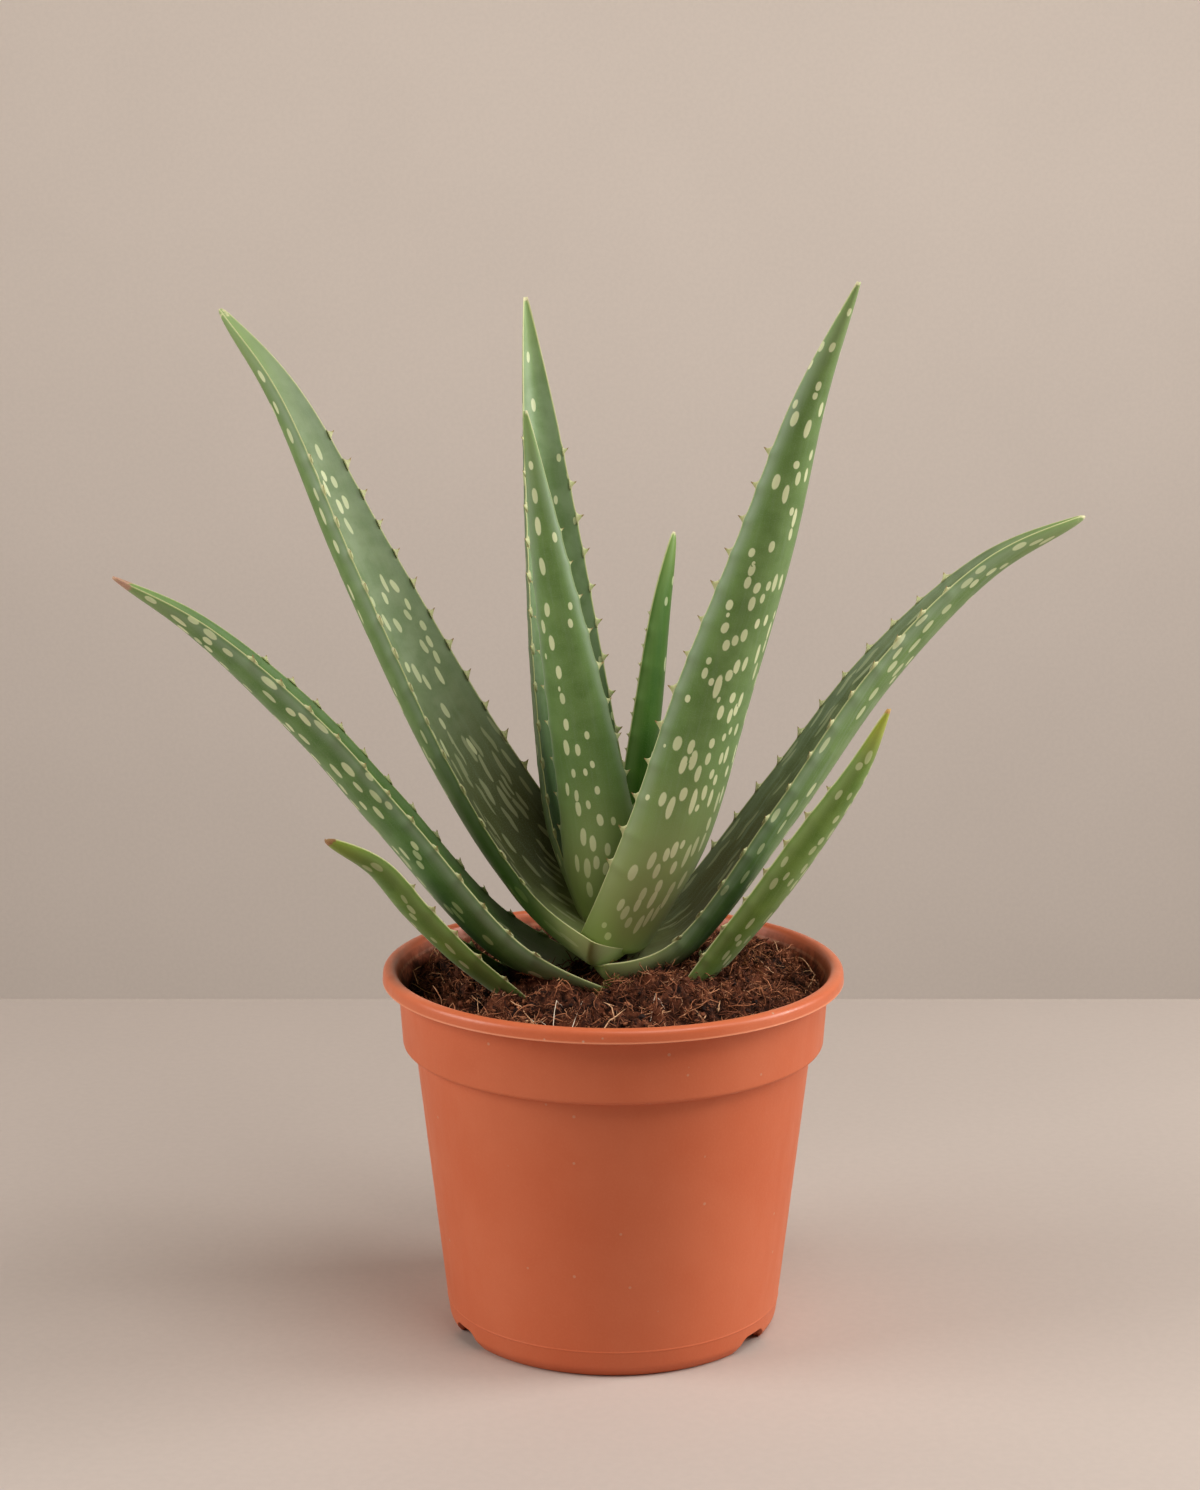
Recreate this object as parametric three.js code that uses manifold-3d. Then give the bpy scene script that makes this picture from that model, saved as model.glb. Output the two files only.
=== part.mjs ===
// Young spotted aloe in a 12 cm nursery pot.
// Millimetres, +Z up. The camera side of the plant is -Y, its right is +X.
// The pieces are: the pot, the soil, the short stem and nine leaves with their teeth.

import * as THREE from 'three';
import { ParametricGeometry } from 'three/addons/geometries/ParametricGeometry.js';
import { mergeVertices } from 'three/addons/utils/BufferGeometryUtils.js';
import Module from 'manifold-3d';

const wasm = await Module();
wasm.setup();

// ---------------------------------------------------------------- driving dimensions

const CLEARANCE = 0.35; // between any two pieces that touch
const HOLE_CLEARANCE = 0.5; // round the leaf bases in the soil

const POT = {
  height: 96.8,
  footRadius: 41.6, // outer radius where it stands
  draft: 0.1135, // growth of the radius with height
  bodyRadius: 43.05, // radius of the drafted wall, taken down to the table
  wall: 1.4,
  collarBottom: 76, // height of the step under the collar
  collarRadius: 54.7, // at that step
  collarTopRadius: 55.9, // under the lip
  lipBottom: 93,
  lipRadius: 60,
  mouthRadius: 56.5, // inner edge of the lip
  floorRecess: 4.4, // height of the floor's underside
  floor: 1.6,
  floorFillet: 2, // between the floor and the wall, inside
  footWidth: 2.4, // width of the ring that it stands on
  footSlope: 0.8, // lean of the ring's inner side
  footEdge: 0.6, // rounding of the ring's outer edge
  footBlend: 2.4, // height at which the ring meets the wall
  collarSlope: 1.8, // height of the slanted step inside the collar
  collarEdge: 0.9, // rounding of the collar's lower edge
  lipEdge: 0.5, // rounding of the lip's lower and inner edges
  lipCrown: 1, // rounding of the lip's upper edge
  lipInside: 3, // height of the slope under the lip, inside
  segments: 56,
};

// The gaps in the foot ring, the first bearing measured from +X.
const NOTCH = {
  count: 3,
  first: -33,
  width: 14, // on the table
  topWidth: 8.5,
  height: 4.2,
  corner: 1.2,
  below: 1, // reach of the cut under the table
  inset: 8, // reach of the cut inside the ring
  depth: 12,
};

const DRAIN = { count: 6, radius: 4, ring: 27, depth: 12, segments: 16 };

const SOIL = {
  edgeHeight: 90, // where it meets the wall
  wallContact: 85.5, // height up to which it lies against the wall
  crown: 96.5, // around the leaves
  rise: 30, // breadth of the slope between the two
  bump: 1.5, // relief of the lumps
  edgeBump: 0.4, // share of that relief at the wall
  calm: 6, // breadth of the calmer ring at the wall
  edgeGap: 0.2, // more room at the wall than lower down
  hollow: { x: -50, y: -4, depth: 4, spread: 120 }, // behind the left leaves
  rings: 11,
  segments: 54,
};

const STEM = {
  radius: 8,
  bottom: 58,
  bottomTaper: 0.7, // share of the radius left at the bottom
  bottomHeight: 6,
  shoulder: 88,
  top: 98,
  topTaper: 0.6, // share of the radius left at the top
  topDrop: 1.5,
  segments: 20,
};

const LEAF_SHAPE = {
  along: 20, // stations from root to tip
  around: 12, // points of a section, a third of them in the channel
  root: 4, // length that runs back into the crown
  sheathEnd: 0.2, // share of the length where the blade has its full breadth
  tipRadius: 0.6,
  tipLength: 0.5, // of the blunt point beyond the last station
  channelPower: 1.8, // 2 makes the channel's floor a parabola
  sharpest: 0.4, // limit for the offset at sharp corners of a section
};

const TOOTH = {
  spacing: 10.6, // near the base
  tipSpacing: 8, // near the tip
  height: 1.9,
  length: 3.2, // of its foot along the margin
  thickness: 1.5,
  hook: 0.9, // lean of its point towards the leaf's tip
  sunk: 1.1, // depth of its root in the margin
  first: 0.14, // share of the leaf's length
  last: 0.8,
  offset: 0.4, // stagger of one margin against the other, as a share of the spacing
  fullWidth: 7, // half width of a leaf whose teeth have the full size
  smallest: 0.45, // size of the teeth where a leaf is narrow
  slope: 1.6, // steepness of the margin against cup / half width
};

// A leaf's spine is the bottom of its channel, from the crown to the tip.
// facing: bearing of the leaf's back, in degrees from +X.
// width: half the breadth of the blade. sheath: breadth of the clasping base against the blade's.
// taper: power and fullness of the outline towards the tip.
// cup, thick: depth of the channel and of the flesh, as shares of the half width, at base and tip.
// roll: turn of the section about the spine, in degrees, at base and tip.
// Inner leaves come first: each later leaf clasps the ones before it.
const LEAVES = {
  leaf_inner_young: {
    spine: [[3, 3, 106], [5, 5, 123], [6.7, 6, 142], [9.3, 8, 164], [12, 10, 187.5], [15.5, 12, 208]],
    facing: 22, width: 9.4, sheath: 0.6, taper: [1.9, 0.6],
    cup: [0.6, 0.47], thick: [0.36, 0.52], roll: [-24, -24],
  },
  leaf_front_spotted: {
    spine: [[-2, -2, 107], [-4, -4, 119], [-5, -6, 136], [-10, -7, 167], [-16, -8, 202], [-22, -10, 241]],
    facing: 262, width: 11, sheath: 0.55, taper: [1.3, 0.9],
    cup: [0.55, 0.25], thick: [0.35, 0.45], roll: [-4, 2],
  },
  leaf_back_tall: {
    spine: [[-4, 7, 106], [-10, 17, 134], [-14, 22, 168], [-17, 28, 203], [-20, 34, 236], [-23, 41, 266]],
    facing: 105, width: 13, sheath: 0.55, taper: [1.6, 0.9],
    cup: [0.8, 0.35], thick: [0.3, 0.5], roll: [15, 8],
  },
  leaf_right_tall: {
    spine: [
      [5, -4, 105], [17.5, -12, 133], [28, -18.5, 172],
      [38.5, -25.5, 209], [47.5, -32, 245], [57.5, -40, 274],
    ],
    facing: 321.5, width: 16, sheath: 0.85, taper: [1.53, 0.94],
    cup: [0.62, 0.4], thick: [0.32, 0.51], roll: [8, -19.5],
  },
  leaf_left_tall: {
    spine: [
      [1.2, -4.6, 104.2], [-20.5, 6, 117.5], [-42, 11, 149.5],
      [-65.5, 18, 196.5], [-85, 26, 239], [-102, 31, 263.5],
    ],
    facing: 158.5, width: 13.7, sheath: 1.44, taper: [1.55, 0.6],
    cup: [0.78, 0.54], thick: [0.25, 0.55], roll: [-23, 3],
  },
  leaf_right_long: {
    spine: [
      [-3.5, 0, 97.5], [19, 3.5, 104], [44.5, 6, 137], [69, 12, 170.5], [96, 17, 197], [122, 19, 211],
    ],
    facing: 0, width: 12.8, sheath: 1.52, taper: [1.8, 0.56],
    cup: [0.44, 0.55], thick: [0.3, 0.44], roll: [12.5, -5],
  },
  leaf_left_long: {
    spine: [
      [-1, -9.2, 92], [-29, -11, 106.5], [-56.5, -14, 139],
      [-77, -18, 164], [-102, -20, 187.5], [-123, -24, 201.5],
    ],
    facing: 192, width: 15.6, sheath: 0.7, taper: [2.15, 0.83],
    cup: [0.25, 0.49], thick: [0.26, 0.5], roll: [-3, -3],
  },
  leaf_right_short: {
    spine: [[13.5, -6, 84.5], [27, -7, 101], [40, -11, 118], [51, -16, 135], [61, -21, 152], [68, -26, 169]],
    facing: 338, width: 10.7, sheath: 0.9, taper: [1.85, 0.9],
    cup: [0.26, 0.42], thick: [0.33, 0.53], roll: [14.5, -26],
  },
  leaf_left_short: {
    spine: [
      [-15, -12, 83], [-27, -16, 94], [-39, -21, 105], [-50, -27, 118], [-59, -34, 131], [-70, -43, 140],
    ],
    facing: 205, width: 8, sheath: 0.9, taper: [1.6, 0.45],
    cup: [0.45, 0.35], thick: [0.3, 0.5], roll: [-21, 19],
  },
};

const COLOURS = {
  pot: 0xb5563a,
  soil: 0x3f281a,
  stem: 0x9a8f5f,
  leaf: 0x54703f,
  freshLeaf: 0x6b8a35,
};

// ---------------------------------------------------------------- solids

function toSolid(geometry) {
  const bare = geometry.index ? geometry.toNonIndexed() : geometry.clone();
  for (const name of Object.keys(bare.attributes)) {
    if (name !== 'position') bare.deleteAttribute(name);
  }
  const merged = mergeVertices(bare, 1e-4);
  const corners = [];
  for (let i = 0; i < merged.index.count; i += 3) {
    const [a, b, c] = [0, 1, 2].map((k) => merged.index.getX(i + k));
    if (a !== b && b !== c && c !== a) corners.push(a, b, c);
  }
  const vertProperties = new Float32Array(merged.attributes.position.array);
  const triVerts = new Uint32Array(corners);
  return new wasm.Manifold(new wasm.Mesh({ numProp: 3, vertProperties, triVerts }));
}

function largestBody(solid) {
  const bodies = solid.decompose();
  return bodies.reduce((best, body) => (body.volume() > best.volume() ? body : best));
}

function toMesh(name, solid, colour, roughness) {
  const shape = solid.getMesh();
  const geometry = new THREE.BufferGeometry();
  geometry.setAttribute('position', new THREE.BufferAttribute(new Float32Array(shape.vertProperties), 3));
  geometry.setIndex(new THREE.BufferAttribute(new Uint32Array(shape.triVerts), 1));
  geometry.computeVertexNormals();
  const material = new THREE.MeshStandardMaterial({ color: colour, roughness, metalness: 0 });
  const mesh = new THREE.Mesh(geometry, material);
  mesh.name = name;
  return mesh;
}

const radians = THREE.MathUtils.degToRad;

// ---------------------------------------------------------------- pot

function wallRadius(z) {
  return POT.bodyRadius + POT.draft * z;
}

function collarRadius(z) {
  const share = (z - POT.collarBottom) / (POT.lipBottom - POT.collarBottom);
  return THREE.MathUtils.lerp(POT.collarRadius, POT.collarTopRadius, share);
}

// Radius and height pairs up the inside of the pot, from its axis to the height `top`.
function innerProfile(gap, top) {
  const inside = POT.wall + gap;
  const shoulder = POT.collarBottom + POT.collarSlope;
  const floorTop = POT.floorRecess + POT.floor + gap;
  return [
    [0, floorTop],
    [wallRadius(floorTop) - inside - POT.floorFillet, floorTop],
    [wallRadius(floorTop) - inside, floorTop + POT.floorFillet],
    [wallRadius(POT.collarBottom) - inside, POT.collarBottom],
    [collarRadius(shoulder) - inside, shoulder],
    [collarRadius(top) - inside, top],
  ];
}

function makePot() {
  const foot = POT.footRadius;
  const outline = [
    [0, POT.floorRecess],
    [foot - POT.footWidth - POT.footSlope, POT.floorRecess],
    [foot - POT.footWidth, 0],
    [foot - POT.footEdge, 0],
    [foot + POT.footEdge, POT.footEdge],
    [wallRadius(POT.footBlend), POT.footBlend],
    [wallRadius(POT.collarBottom), POT.collarBottom],
    [POT.collarRadius - POT.collarEdge, POT.collarBottom],
    [POT.collarRadius, POT.collarBottom + POT.collarEdge],
    [POT.collarTopRadius, POT.lipBottom],
    [POT.lipRadius - POT.lipEdge, POT.lipBottom],
    [POT.lipRadius, POT.lipBottom + POT.lipEdge],
    [POT.lipRadius, POT.height - POT.lipCrown],
    [POT.lipRadius - POT.lipCrown, POT.height - POT.lipCrown / 8],
    [POT.lipRadius - 2 * POT.lipCrown, POT.height],
    [POT.mouthRadius, POT.height - POT.lipEdge],
    [POT.mouthRadius - POT.lipEdge, POT.height - 3 * POT.lipEdge],
    ...innerProfile(0, POT.lipBottom - POT.lipInside).reverse(),
  ].map(([r, z]) => new THREE.Vector2(r, z));
  let pot = toSolid(new THREE.LatheGeometry(outline, POT.segments).rotateX(Math.PI / 2));
  for (let i = 0; i < NOTCH.count; i++) {
    pot = pot.subtract(makeNotch(NOTCH.first + (360 / NOTCH.count) * i));
  }
  for (let i = 0; i < DRAIN.count; i++) {
    pot = pot.subtract(makeDrain((360 / DRAIN.count) * i));
  }
  return toMesh('pot', pot, COLOURS.pot, 0.5);
}

function makeNotch(bearing) {
  const half = NOTCH.width / 2 + NOTCH.below;
  const top = NOTCH.topWidth / 2;
  const shoulder = top + NOTCH.corner / 2;
  const side = NOTCH.height - NOTCH.corner;
  const shape = new THREE.Shape();
  shape.moveTo(-half, -NOTCH.below);
  shape.lineTo(half, -NOTCH.below);
  shape.lineTo(shoulder, side);
  shape.quadraticCurveTo(top, NOTCH.height, top - NOTCH.corner, NOTCH.height);
  shape.lineTo(NOTCH.corner - top, NOTCH.height);
  shape.quadraticCurveTo(-top, NOTCH.height, -shoulder, side);
  shape.closePath();
  const options = { depth: NOTCH.depth, bevelEnabled: false, curveSegments: 3 };
  const geometry = new THREE.ExtrudeGeometry(shape, options);
  geometry.rotateX(Math.PI / 2).rotateZ(Math.PI / 2);
  geometry.translate(POT.footRadius - NOTCH.inset, 0, 0).rotateZ(radians(bearing));
  return toSolid(geometry);
}

function makeDrain(bearing) {
  const { radius, depth, segments } = DRAIN;
  const geometry = new THREE.CylinderGeometry(radius, radius, depth, segments).rotateX(Math.PI / 2);
  geometry.translate(DRAIN.ring, 0, POT.floorRecess).rotateZ(radians(bearing));
  return toSolid(geometry);
}

// ---------------------------------------------------------------- soil and stem

// Lumps of potting mix: three sums of crossing waves, each finer than the one before.
function lumps(x, y) {
  const bendX = x + 6.2 * Math.sin(y * 0.13);
  const bendY = y + 4.6 * Math.sin(x * 0.17 + 2);
  const coarse = Math.sin(bendX * 0.21) * Math.sin(bendY * 0.24);
  const middle = Math.sin(x * 0.47 + y * 0.19 + 0.7) * Math.sin(y * 0.52 - x * 0.23 + 1.9);
  const fine = Math.sin(x * 0.93 - y * 0.41 + 3.1) * Math.sin(y * 0.97 + x * 0.37 + 0.4);
  return coarse + 0.6 * middle + 0.35 * fine;
}

function soilHeight(x, y) {
  const inland = POT.collarTopRadius - Math.hypot(x, y);
  const rise = THREE.MathUtils.smoothstep(inland, 0, SOIL.rise);
  const relief = THREE.MathUtils.lerp(SOIL.edgeBump, 1, THREE.MathUtils.smoothstep(inland, 0, SOIL.calm));
  const { hollow } = SOIL;
  const dip = Math.exp(-((x - hollow.x) ** 2 + (y - hollow.y) ** 2) / hollow.spread);
  const ground = THREE.MathUtils.lerp(SOIL.edgeHeight, SOIL.crown, rise) - hollow.depth * dip;
  return ground + SOIL.bump * relief * lumps(x, y);
}

function makeSoil(holes) {
  const side = innerProfile(CLEARANCE, SOIL.wallContact);
  const edge = side[side.length - 1][0] - SOIL.edgeGap;
  const surface = [];
  for (let i = 0; i <= SOIL.rings; i++) {
    surface.push([edge * (1 - i / SOIL.rings), POT.height]);
  }
  const outline = [...side, ...surface].map(([r, z]) => new THREE.Vector2(r, z));
  const geometry = new THREE.LatheGeometry(outline, SOIL.segments).rotateX(Math.PI / 2);
  const position = geometry.attributes.position;
  for (let i = 0; i < position.count; i++) {
    if (position.getZ(i) > SOIL.crown) {
      // Rounded, so that the first and last points of a ring stay together.
      const x = Math.round(position.getX(i) * 1e3) / 1e3;
      const y = Math.round(position.getY(i) * 1e3) / 1e3;
      position.setZ(i, soilHeight(x, y));
    }
  }
  const soil = holes.reduce((body, hole) => body.subtract(hole), toSolid(geometry));
  return toMesh('soil', largestBody(soil), COLOURS.soil, 0.95);
}

function stemSolid(grow) {
  const outline = [
    [0, STEM.bottom - grow],
    [STEM.radius * STEM.bottomTaper + grow, STEM.bottom - grow],
    [STEM.radius + grow, STEM.bottom + STEM.bottomHeight],
    [STEM.radius + grow, STEM.shoulder],
    [STEM.radius * STEM.topTaper + grow, STEM.top - STEM.topDrop + grow],
    [0, STEM.top + grow],
  ].map(([r, z]) => new THREE.Vector2(r, z));
  return toSolid(new THREE.LatheGeometry(outline, STEM.segments).rotateX(Math.PI / 2));
}

// ---------------------------------------------------------------- leaves

function leafFrame(leaf) {
  const points = leaf.spine.map(([x, y, z]) => new THREE.Vector3(x, y, z));
  const start = points[0].clone().sub(points[1]).setLength(LEAF_SHAPE.root).add(points[0]);
  const curve = new THREE.CatmullRomCurve3([start, ...points], false, 'catmullrom', 0.5);
  const length = curve.getLength();
  const facing = radians(leaf.facing);
  const across = new THREE.Vector3(-Math.sin(facing), Math.cos(facing), 0);
  const outward = new THREE.Vector3(Math.cos(facing), Math.sin(facing), 0);
  return { leaf, curve, length, across, outward, rootShare: LEAF_SHAPE.root / length };
}

// Place, directions and section sizes at a share v of the whole length, root included.
function station(frame, v) {
  const { leaf } = frame;
  const share = THREE.MathUtils.clamp((v - frame.rootShare) / (1 - frame.rootShare), 0, 1);
  const centre = frame.curve.getPointAt(v);
  const along = frame.curve.getTangentAt(v);
  const across = frame.across.clone().addScaledVector(along, -frame.across.dot(along)).normalize();
  const inward = new THREE.Vector3().crossVectors(along, across).normalize();
  if (inward.dot(frame.outward) - inward.z > 0) inward.negate();
  const roll = radians(THREE.MathUtils.lerp(leaf.roll[0], leaf.roll[1], share));
  const side = across.clone().multiplyScalar(Math.cos(roll)).addScaledVector(inward, Math.sin(roll));
  const up = inward.clone().multiplyScalar(Math.cos(roll)).addScaledVector(across, -Math.sin(roll));
  const [power, fullness] = leaf.taper;
  const opening = THREE.MathUtils.smoothstep(v, 0, LEAF_SHAPE.sheathEnd);
  const blade = leaf.width * (1 - share ** power) ** fullness;
  const half = blade * THREE.MathUtils.lerp(leaf.sheath, 1, opening) + LEAF_SHAPE.tipRadius * share;
  return {
    centre, along, side, up, half, share,
    cup: half * THREE.MathUtils.lerp(leaf.cup[0], leaf.cup[1], share),
    thick: half * THREE.MathUtils.lerp(leaf.thick[0], leaf.thick[1], share),
  };
}

// The section is a crescent: the channel's floor inside and a half ellipse outside.
function sectionPoint(at, u) {
  if (u < 1 / 3) {
    const across = 6 * u - 1;
    return [across * at.half, at.cup * Math.abs(across) ** LEAF_SHAPE.channelPower];
  }
  const turn = (u - 1 / 3) * 1.5 * Math.PI;
  return [Math.cos(turn) * at.half, at.cup - Math.sin(turn) * (at.cup + at.thick)];
}

// Way out of the section at u, long enough that a step along it moves both neighbouring faces by one.
function sectionNormal(at, u) {
  const near = 0.004;
  const [before, here, after] = [-near, 0, near].map((step) => sectionPoint(at, (u + step + 1) % 1));
  const first = new THREE.Vector2(before[1] - here[1], here[0] - before[0]).normalize();
  const second = new THREE.Vector2(here[1] - after[1], after[0] - here[0]).normalize();
  const normal = first.clone().add(second).normalize();
  return normal.divideScalar(Math.max(normal.dot(first), LEAF_SHAPE.sharpest));
}

function bladeSolid(frame, grow) {
  const rows = LEAF_SHAPE.along + 1; // the first row is the middle of the flat root end
  const surface = (u, v, target) => {
    const row = Math.round(v * rows);
    const at = station(frame, Math.max(row - 1, 0) / LEAF_SHAPE.along);
    target.copy(at.centre);
    if (row === 0 || row === rows) {
      const reach = row ? LEAF_SHAPE.tipLength + grow : -grow;
      target.addScaledVector(at.up, -at.thick / 2).addScaledVector(at.along, reach);
      return;
    }
    if (row === 1) target.addScaledVector(at.along, -grow);
    const turn = u < 1e-6 ? 0 : 1 - u; // runs backwards, so that the faces point out
    const [x, y] = sectionPoint(at, turn);
    const normal = sectionNormal(at, turn);
    target.addScaledVector(at.side, x + normal.x * grow).addScaledVector(at.up, y + normal.y * grow);
  };
  return toSolid(new ParametricGeometry(surface, LEAF_SHAPE.around, rows));
}

function toothSolids(frame, grow) {
  const teeth = [];
  for (const edge of [-1, 1]) {
    let share = TOOTH.first;
    if (edge > 0) share += (TOOTH.offset * TOOTH.spacing) / frame.length;
    while (share < TOOTH.last) {
      teeth.push(toothSolid(frame, share, edge, grow));
      share += THREE.MathUtils.lerp(TOOTH.spacing, TOOTH.tipSpacing, share) / frame.length;
    }
  }
  return teeth;
}

// A three-sided cone whose foot is sunk in the margin and whose point leans towards the leaf's tip.
function toothSolid(frame, share, edge, grow) {
  const at = station(frame, share);
  const size = THREE.MathUtils.clamp(at.half / TOOTH.fullWidth, TOOTH.smallest, 1);
  const slope = Math.atan2(TOOTH.slope * at.cup, at.half);
  const outward = at.side.clone().multiplyScalar(edge * Math.cos(slope));
  outward.addScaledVector(at.up, Math.sin(slope));
  const rise = outward.clone().multiplyScalar(TOOTH.height * size + TOOTH.sunk + grow);
  rise.addScaledVector(at.along, TOOTH.hook * size);
  const foot = at.along.clone().multiplyScalar((TOOTH.length * size) / 2 + grow);
  const breadth = new THREE.Vector3().crossVectors(at.along, outward);
  breadth.setLength((TOOTH.thickness * size) / 2 + grow);
  const middle = at.centre.clone().addScaledVector(at.side, edge * at.half);
  middle.addScaledVector(at.up, at.cup).addScaledVector(outward, -TOOTH.sunk).addScaledVector(rise, 0.5);
  const place = new THREE.Matrix4().makeBasis(foot, rise, breadth);
  if (place.determinant() < 0) place.makeBasis(foot, rise, breadth.negate());
  place.setPosition(middle);
  return toSolid(new THREE.ConeGeometry(1, 1, 3).applyMatrix4(place));
}

function leafSolid(leaf, grow) {
  const frame = leafFrame(leaf);
  return wasm.Manifold.union([bladeSolid(frame, grow), ...toothSolids(frame, grow)]);
}

// Each leaf is cut clear of the stem and of the leaves inside it.
function makeLeaves() {
  const inner = [stemSolid(CLEARANCE)];
  const meshes = [];
  for (const [name, leaf] of Object.entries(LEAVES)) {
    const body = inner.reduce((solid, cutter) => solid.subtract(cutter), leafSolid(leaf, 0));
    const colour = name.endsWith('short') ? COLOURS.freshLeaf : COLOURS.leaf;
    meshes.push(toMesh(name, largestBody(body), colour, 0.55));
    inner.push(leafSolid(leaf, CLEARANCE));
  }
  const holes = Object.values(LEAVES).map((leaf) => leafSolid(leaf, HOLE_CLEARANCE));
  holes.push(stemSolid(HOLE_CLEARANCE));
  return { meshes, holes };
}

// ---------------------------------------------------------------- assembly

const { meshes: leafMeshes, holes } = makeLeaves();
const plant = new THREE.Group();
plant.add(toMesh('stem', stemSolid(0), COLOURS.stem, 0.8), ...leafMeshes);

const object = new THREE.Group();
object.add(makePot(), makeSoil(holes), plant);

// The origin is on the table, under the middle of the whole object's box.
const box = new THREE.Box3().setFromObject(object, true);
const middle = box.getCenter(new THREE.Vector3());
object.position.set(-middle.x, -middle.y, 0);

export default object;
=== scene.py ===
import math
import random

import bmesh
import bpy
import numpy as np
from mathutils import Euler, Matrix, Vector, noise


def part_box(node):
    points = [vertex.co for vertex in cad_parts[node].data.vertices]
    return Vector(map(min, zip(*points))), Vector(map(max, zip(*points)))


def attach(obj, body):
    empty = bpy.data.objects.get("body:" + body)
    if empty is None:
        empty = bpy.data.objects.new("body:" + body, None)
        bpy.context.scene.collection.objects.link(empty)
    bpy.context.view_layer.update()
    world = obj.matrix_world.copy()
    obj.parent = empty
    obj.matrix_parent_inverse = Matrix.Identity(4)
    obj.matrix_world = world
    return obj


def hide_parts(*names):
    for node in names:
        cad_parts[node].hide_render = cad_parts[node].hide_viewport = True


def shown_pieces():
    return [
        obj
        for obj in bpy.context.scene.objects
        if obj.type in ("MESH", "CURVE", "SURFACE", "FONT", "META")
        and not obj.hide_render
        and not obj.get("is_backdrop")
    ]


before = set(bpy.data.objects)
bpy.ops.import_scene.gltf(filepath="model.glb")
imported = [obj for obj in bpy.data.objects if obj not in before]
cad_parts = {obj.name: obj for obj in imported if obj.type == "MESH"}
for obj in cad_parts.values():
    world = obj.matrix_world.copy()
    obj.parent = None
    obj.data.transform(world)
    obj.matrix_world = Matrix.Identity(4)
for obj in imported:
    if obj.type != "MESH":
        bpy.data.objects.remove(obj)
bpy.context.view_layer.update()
print("frame loaded")

mm = 0.001
potLow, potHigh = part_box("pot")
potMiddle = (potLow + potHigh) / 2  # every measure below is in mm from the pot's axis and its foot
originX, originY = potMiddle.x, potMiddle.y


# camera and studio

studio = {
    "photoWidth": 1200,
    "photoHeight": 1490,
    "cameraPlace": (-3.44, -750.0, 309.72),
    "cameraPitch": 11.69,  # degrees below the horizon
    "lens": 72.2,
    "sensor": 36.0,
    "nearest": 0.05,
    # each light: place and aim in mm, size in metres, power in watts
    "lights": {
        "keyLight": ((900, 20, 465), (0, 0, 100), (0.45, 0.5), 5.6),
        "fillLight": ((-950, -215, 527), (0, 0, 110), (0.6, 0.6), 6.2),
        "washLight": ((330, -370, 930), (100, 100, 200), (0.6, 0.6), 4.8),
    },
    "ambient": 0.12,
    "ambientColour": (1.0, 0.82, 0.74),  # the warm room
    "tableFront": 3000.0,
    "tableBack": 294.0,  # from the pot's axis to the table's far edge
    "tableSide": 1600.0,
    "tableThickness": 40.0,
    "edgeRadius": 2.0,
    "edgeSteps": 10,
    "wallBack": 1000.0,  # far enough that the plant can be seen from behind
    "wallSide": 2200.0,
    "wallBottom": -800.0,
    "wallTop": 1800.0,
    "tableColour": (195, 183, 173),
    "wallColour": (238, 225, 212),
    "roughness": 0.75,
    "cloudScale": 9.0,
    "grainScale": 420.0,
    "bump": 0.15,
    "bumpDepth": 0.2,
}

cameraPitch = math.radians(studio["cameraPitch"])
focal = studio["lens"] / studio["sensor"] * studio["photoHeight"]  # in the photograph's pixels


def atPot(x, y, z):
    return Vector((originX + x * mm, originY + y * mm, z * mm))


def makeCamera():
    camera = bpy.data.objects.new("camera", bpy.data.cameras.new("camera"))
    camera.data.lens = studio["lens"]
    camera.data.sensor_width = studio["sensor"]
    camera.data.clip_start = studio["nearest"]
    camera.location = atPot(*studio["cameraPlace"])
    camera.rotation_euler = (math.radians(90 - studio["cameraPitch"]), 0, 0)
    bpy.context.scene.collection.objects.link(camera)
    bpy.context.scene.camera = camera


def makeLight(name, place, aim, size, power):
    light = bpy.data.lights.new(name, "AREA")
    light.shape = "RECTANGLE"
    light.size, light.size_y = size
    light.energy = power
    lamp = bpy.data.objects.new(name, light)
    lamp.location = atPot(*place)
    lamp.rotation_euler = (atPot(*aim) - lamp.location).to_track_quat("-Z", "Y").to_euler()
    bpy.context.scene.collection.objects.link(lamp)


def makeRoomLight():
    world = bpy.data.worlds.new("studio")
    bpy.context.scene.world = world
    world.use_nodes = True
    room = world.node_tree.nodes["Background"]
    room.inputs["Color"].default_value = (*studio["ambientColour"], 1.0)
    room.inputs["Strength"].default_value = studio["ambient"]
    bpy.context.scene.view_settings.view_transform = "Standard"
    bpy.context.scene.view_settings.look = "Medium High Contrast"


makeCamera()
for name, values in studio["lights"].items():
    makeLight(name, *values)
makeRoomLight()
print("camera and lights placed")


# small tools for materials; a colour is written with 0 to 255 for red, green and blue


def toLinear(red, green, blue):
    shares = [value / 255 for value in (red, green, blue)]
    return (*(share / 12.92 if share <= 0.04045 else ((share + 0.055) / 1.055) ** 2.4 for share in shares), 1.0)


def startMaterial(name, **plain):
    material = bpy.data.materials.new(name)
    material.use_nodes = True
    tree = material.node_tree
    shader = tree.nodes["Principled BSDF"]
    for socket, value in plain.items():
        shader.inputs[socket.replace("_", " ")].default_value = value
    return material, tree, shader


def put(tree, kind, feeds=None, **settings):
    made = tree.nodes.new("ShaderNode" + kind)
    for key, value in settings.items():
        setattr(made, key, value)
    for socket, value in (feeds or {}).items():
        if isinstance(value, bpy.types.NodeSocket):
            tree.links.new(value, made.inputs[socket])
        else:
            made.inputs[socket].default_value = value
    return made


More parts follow.
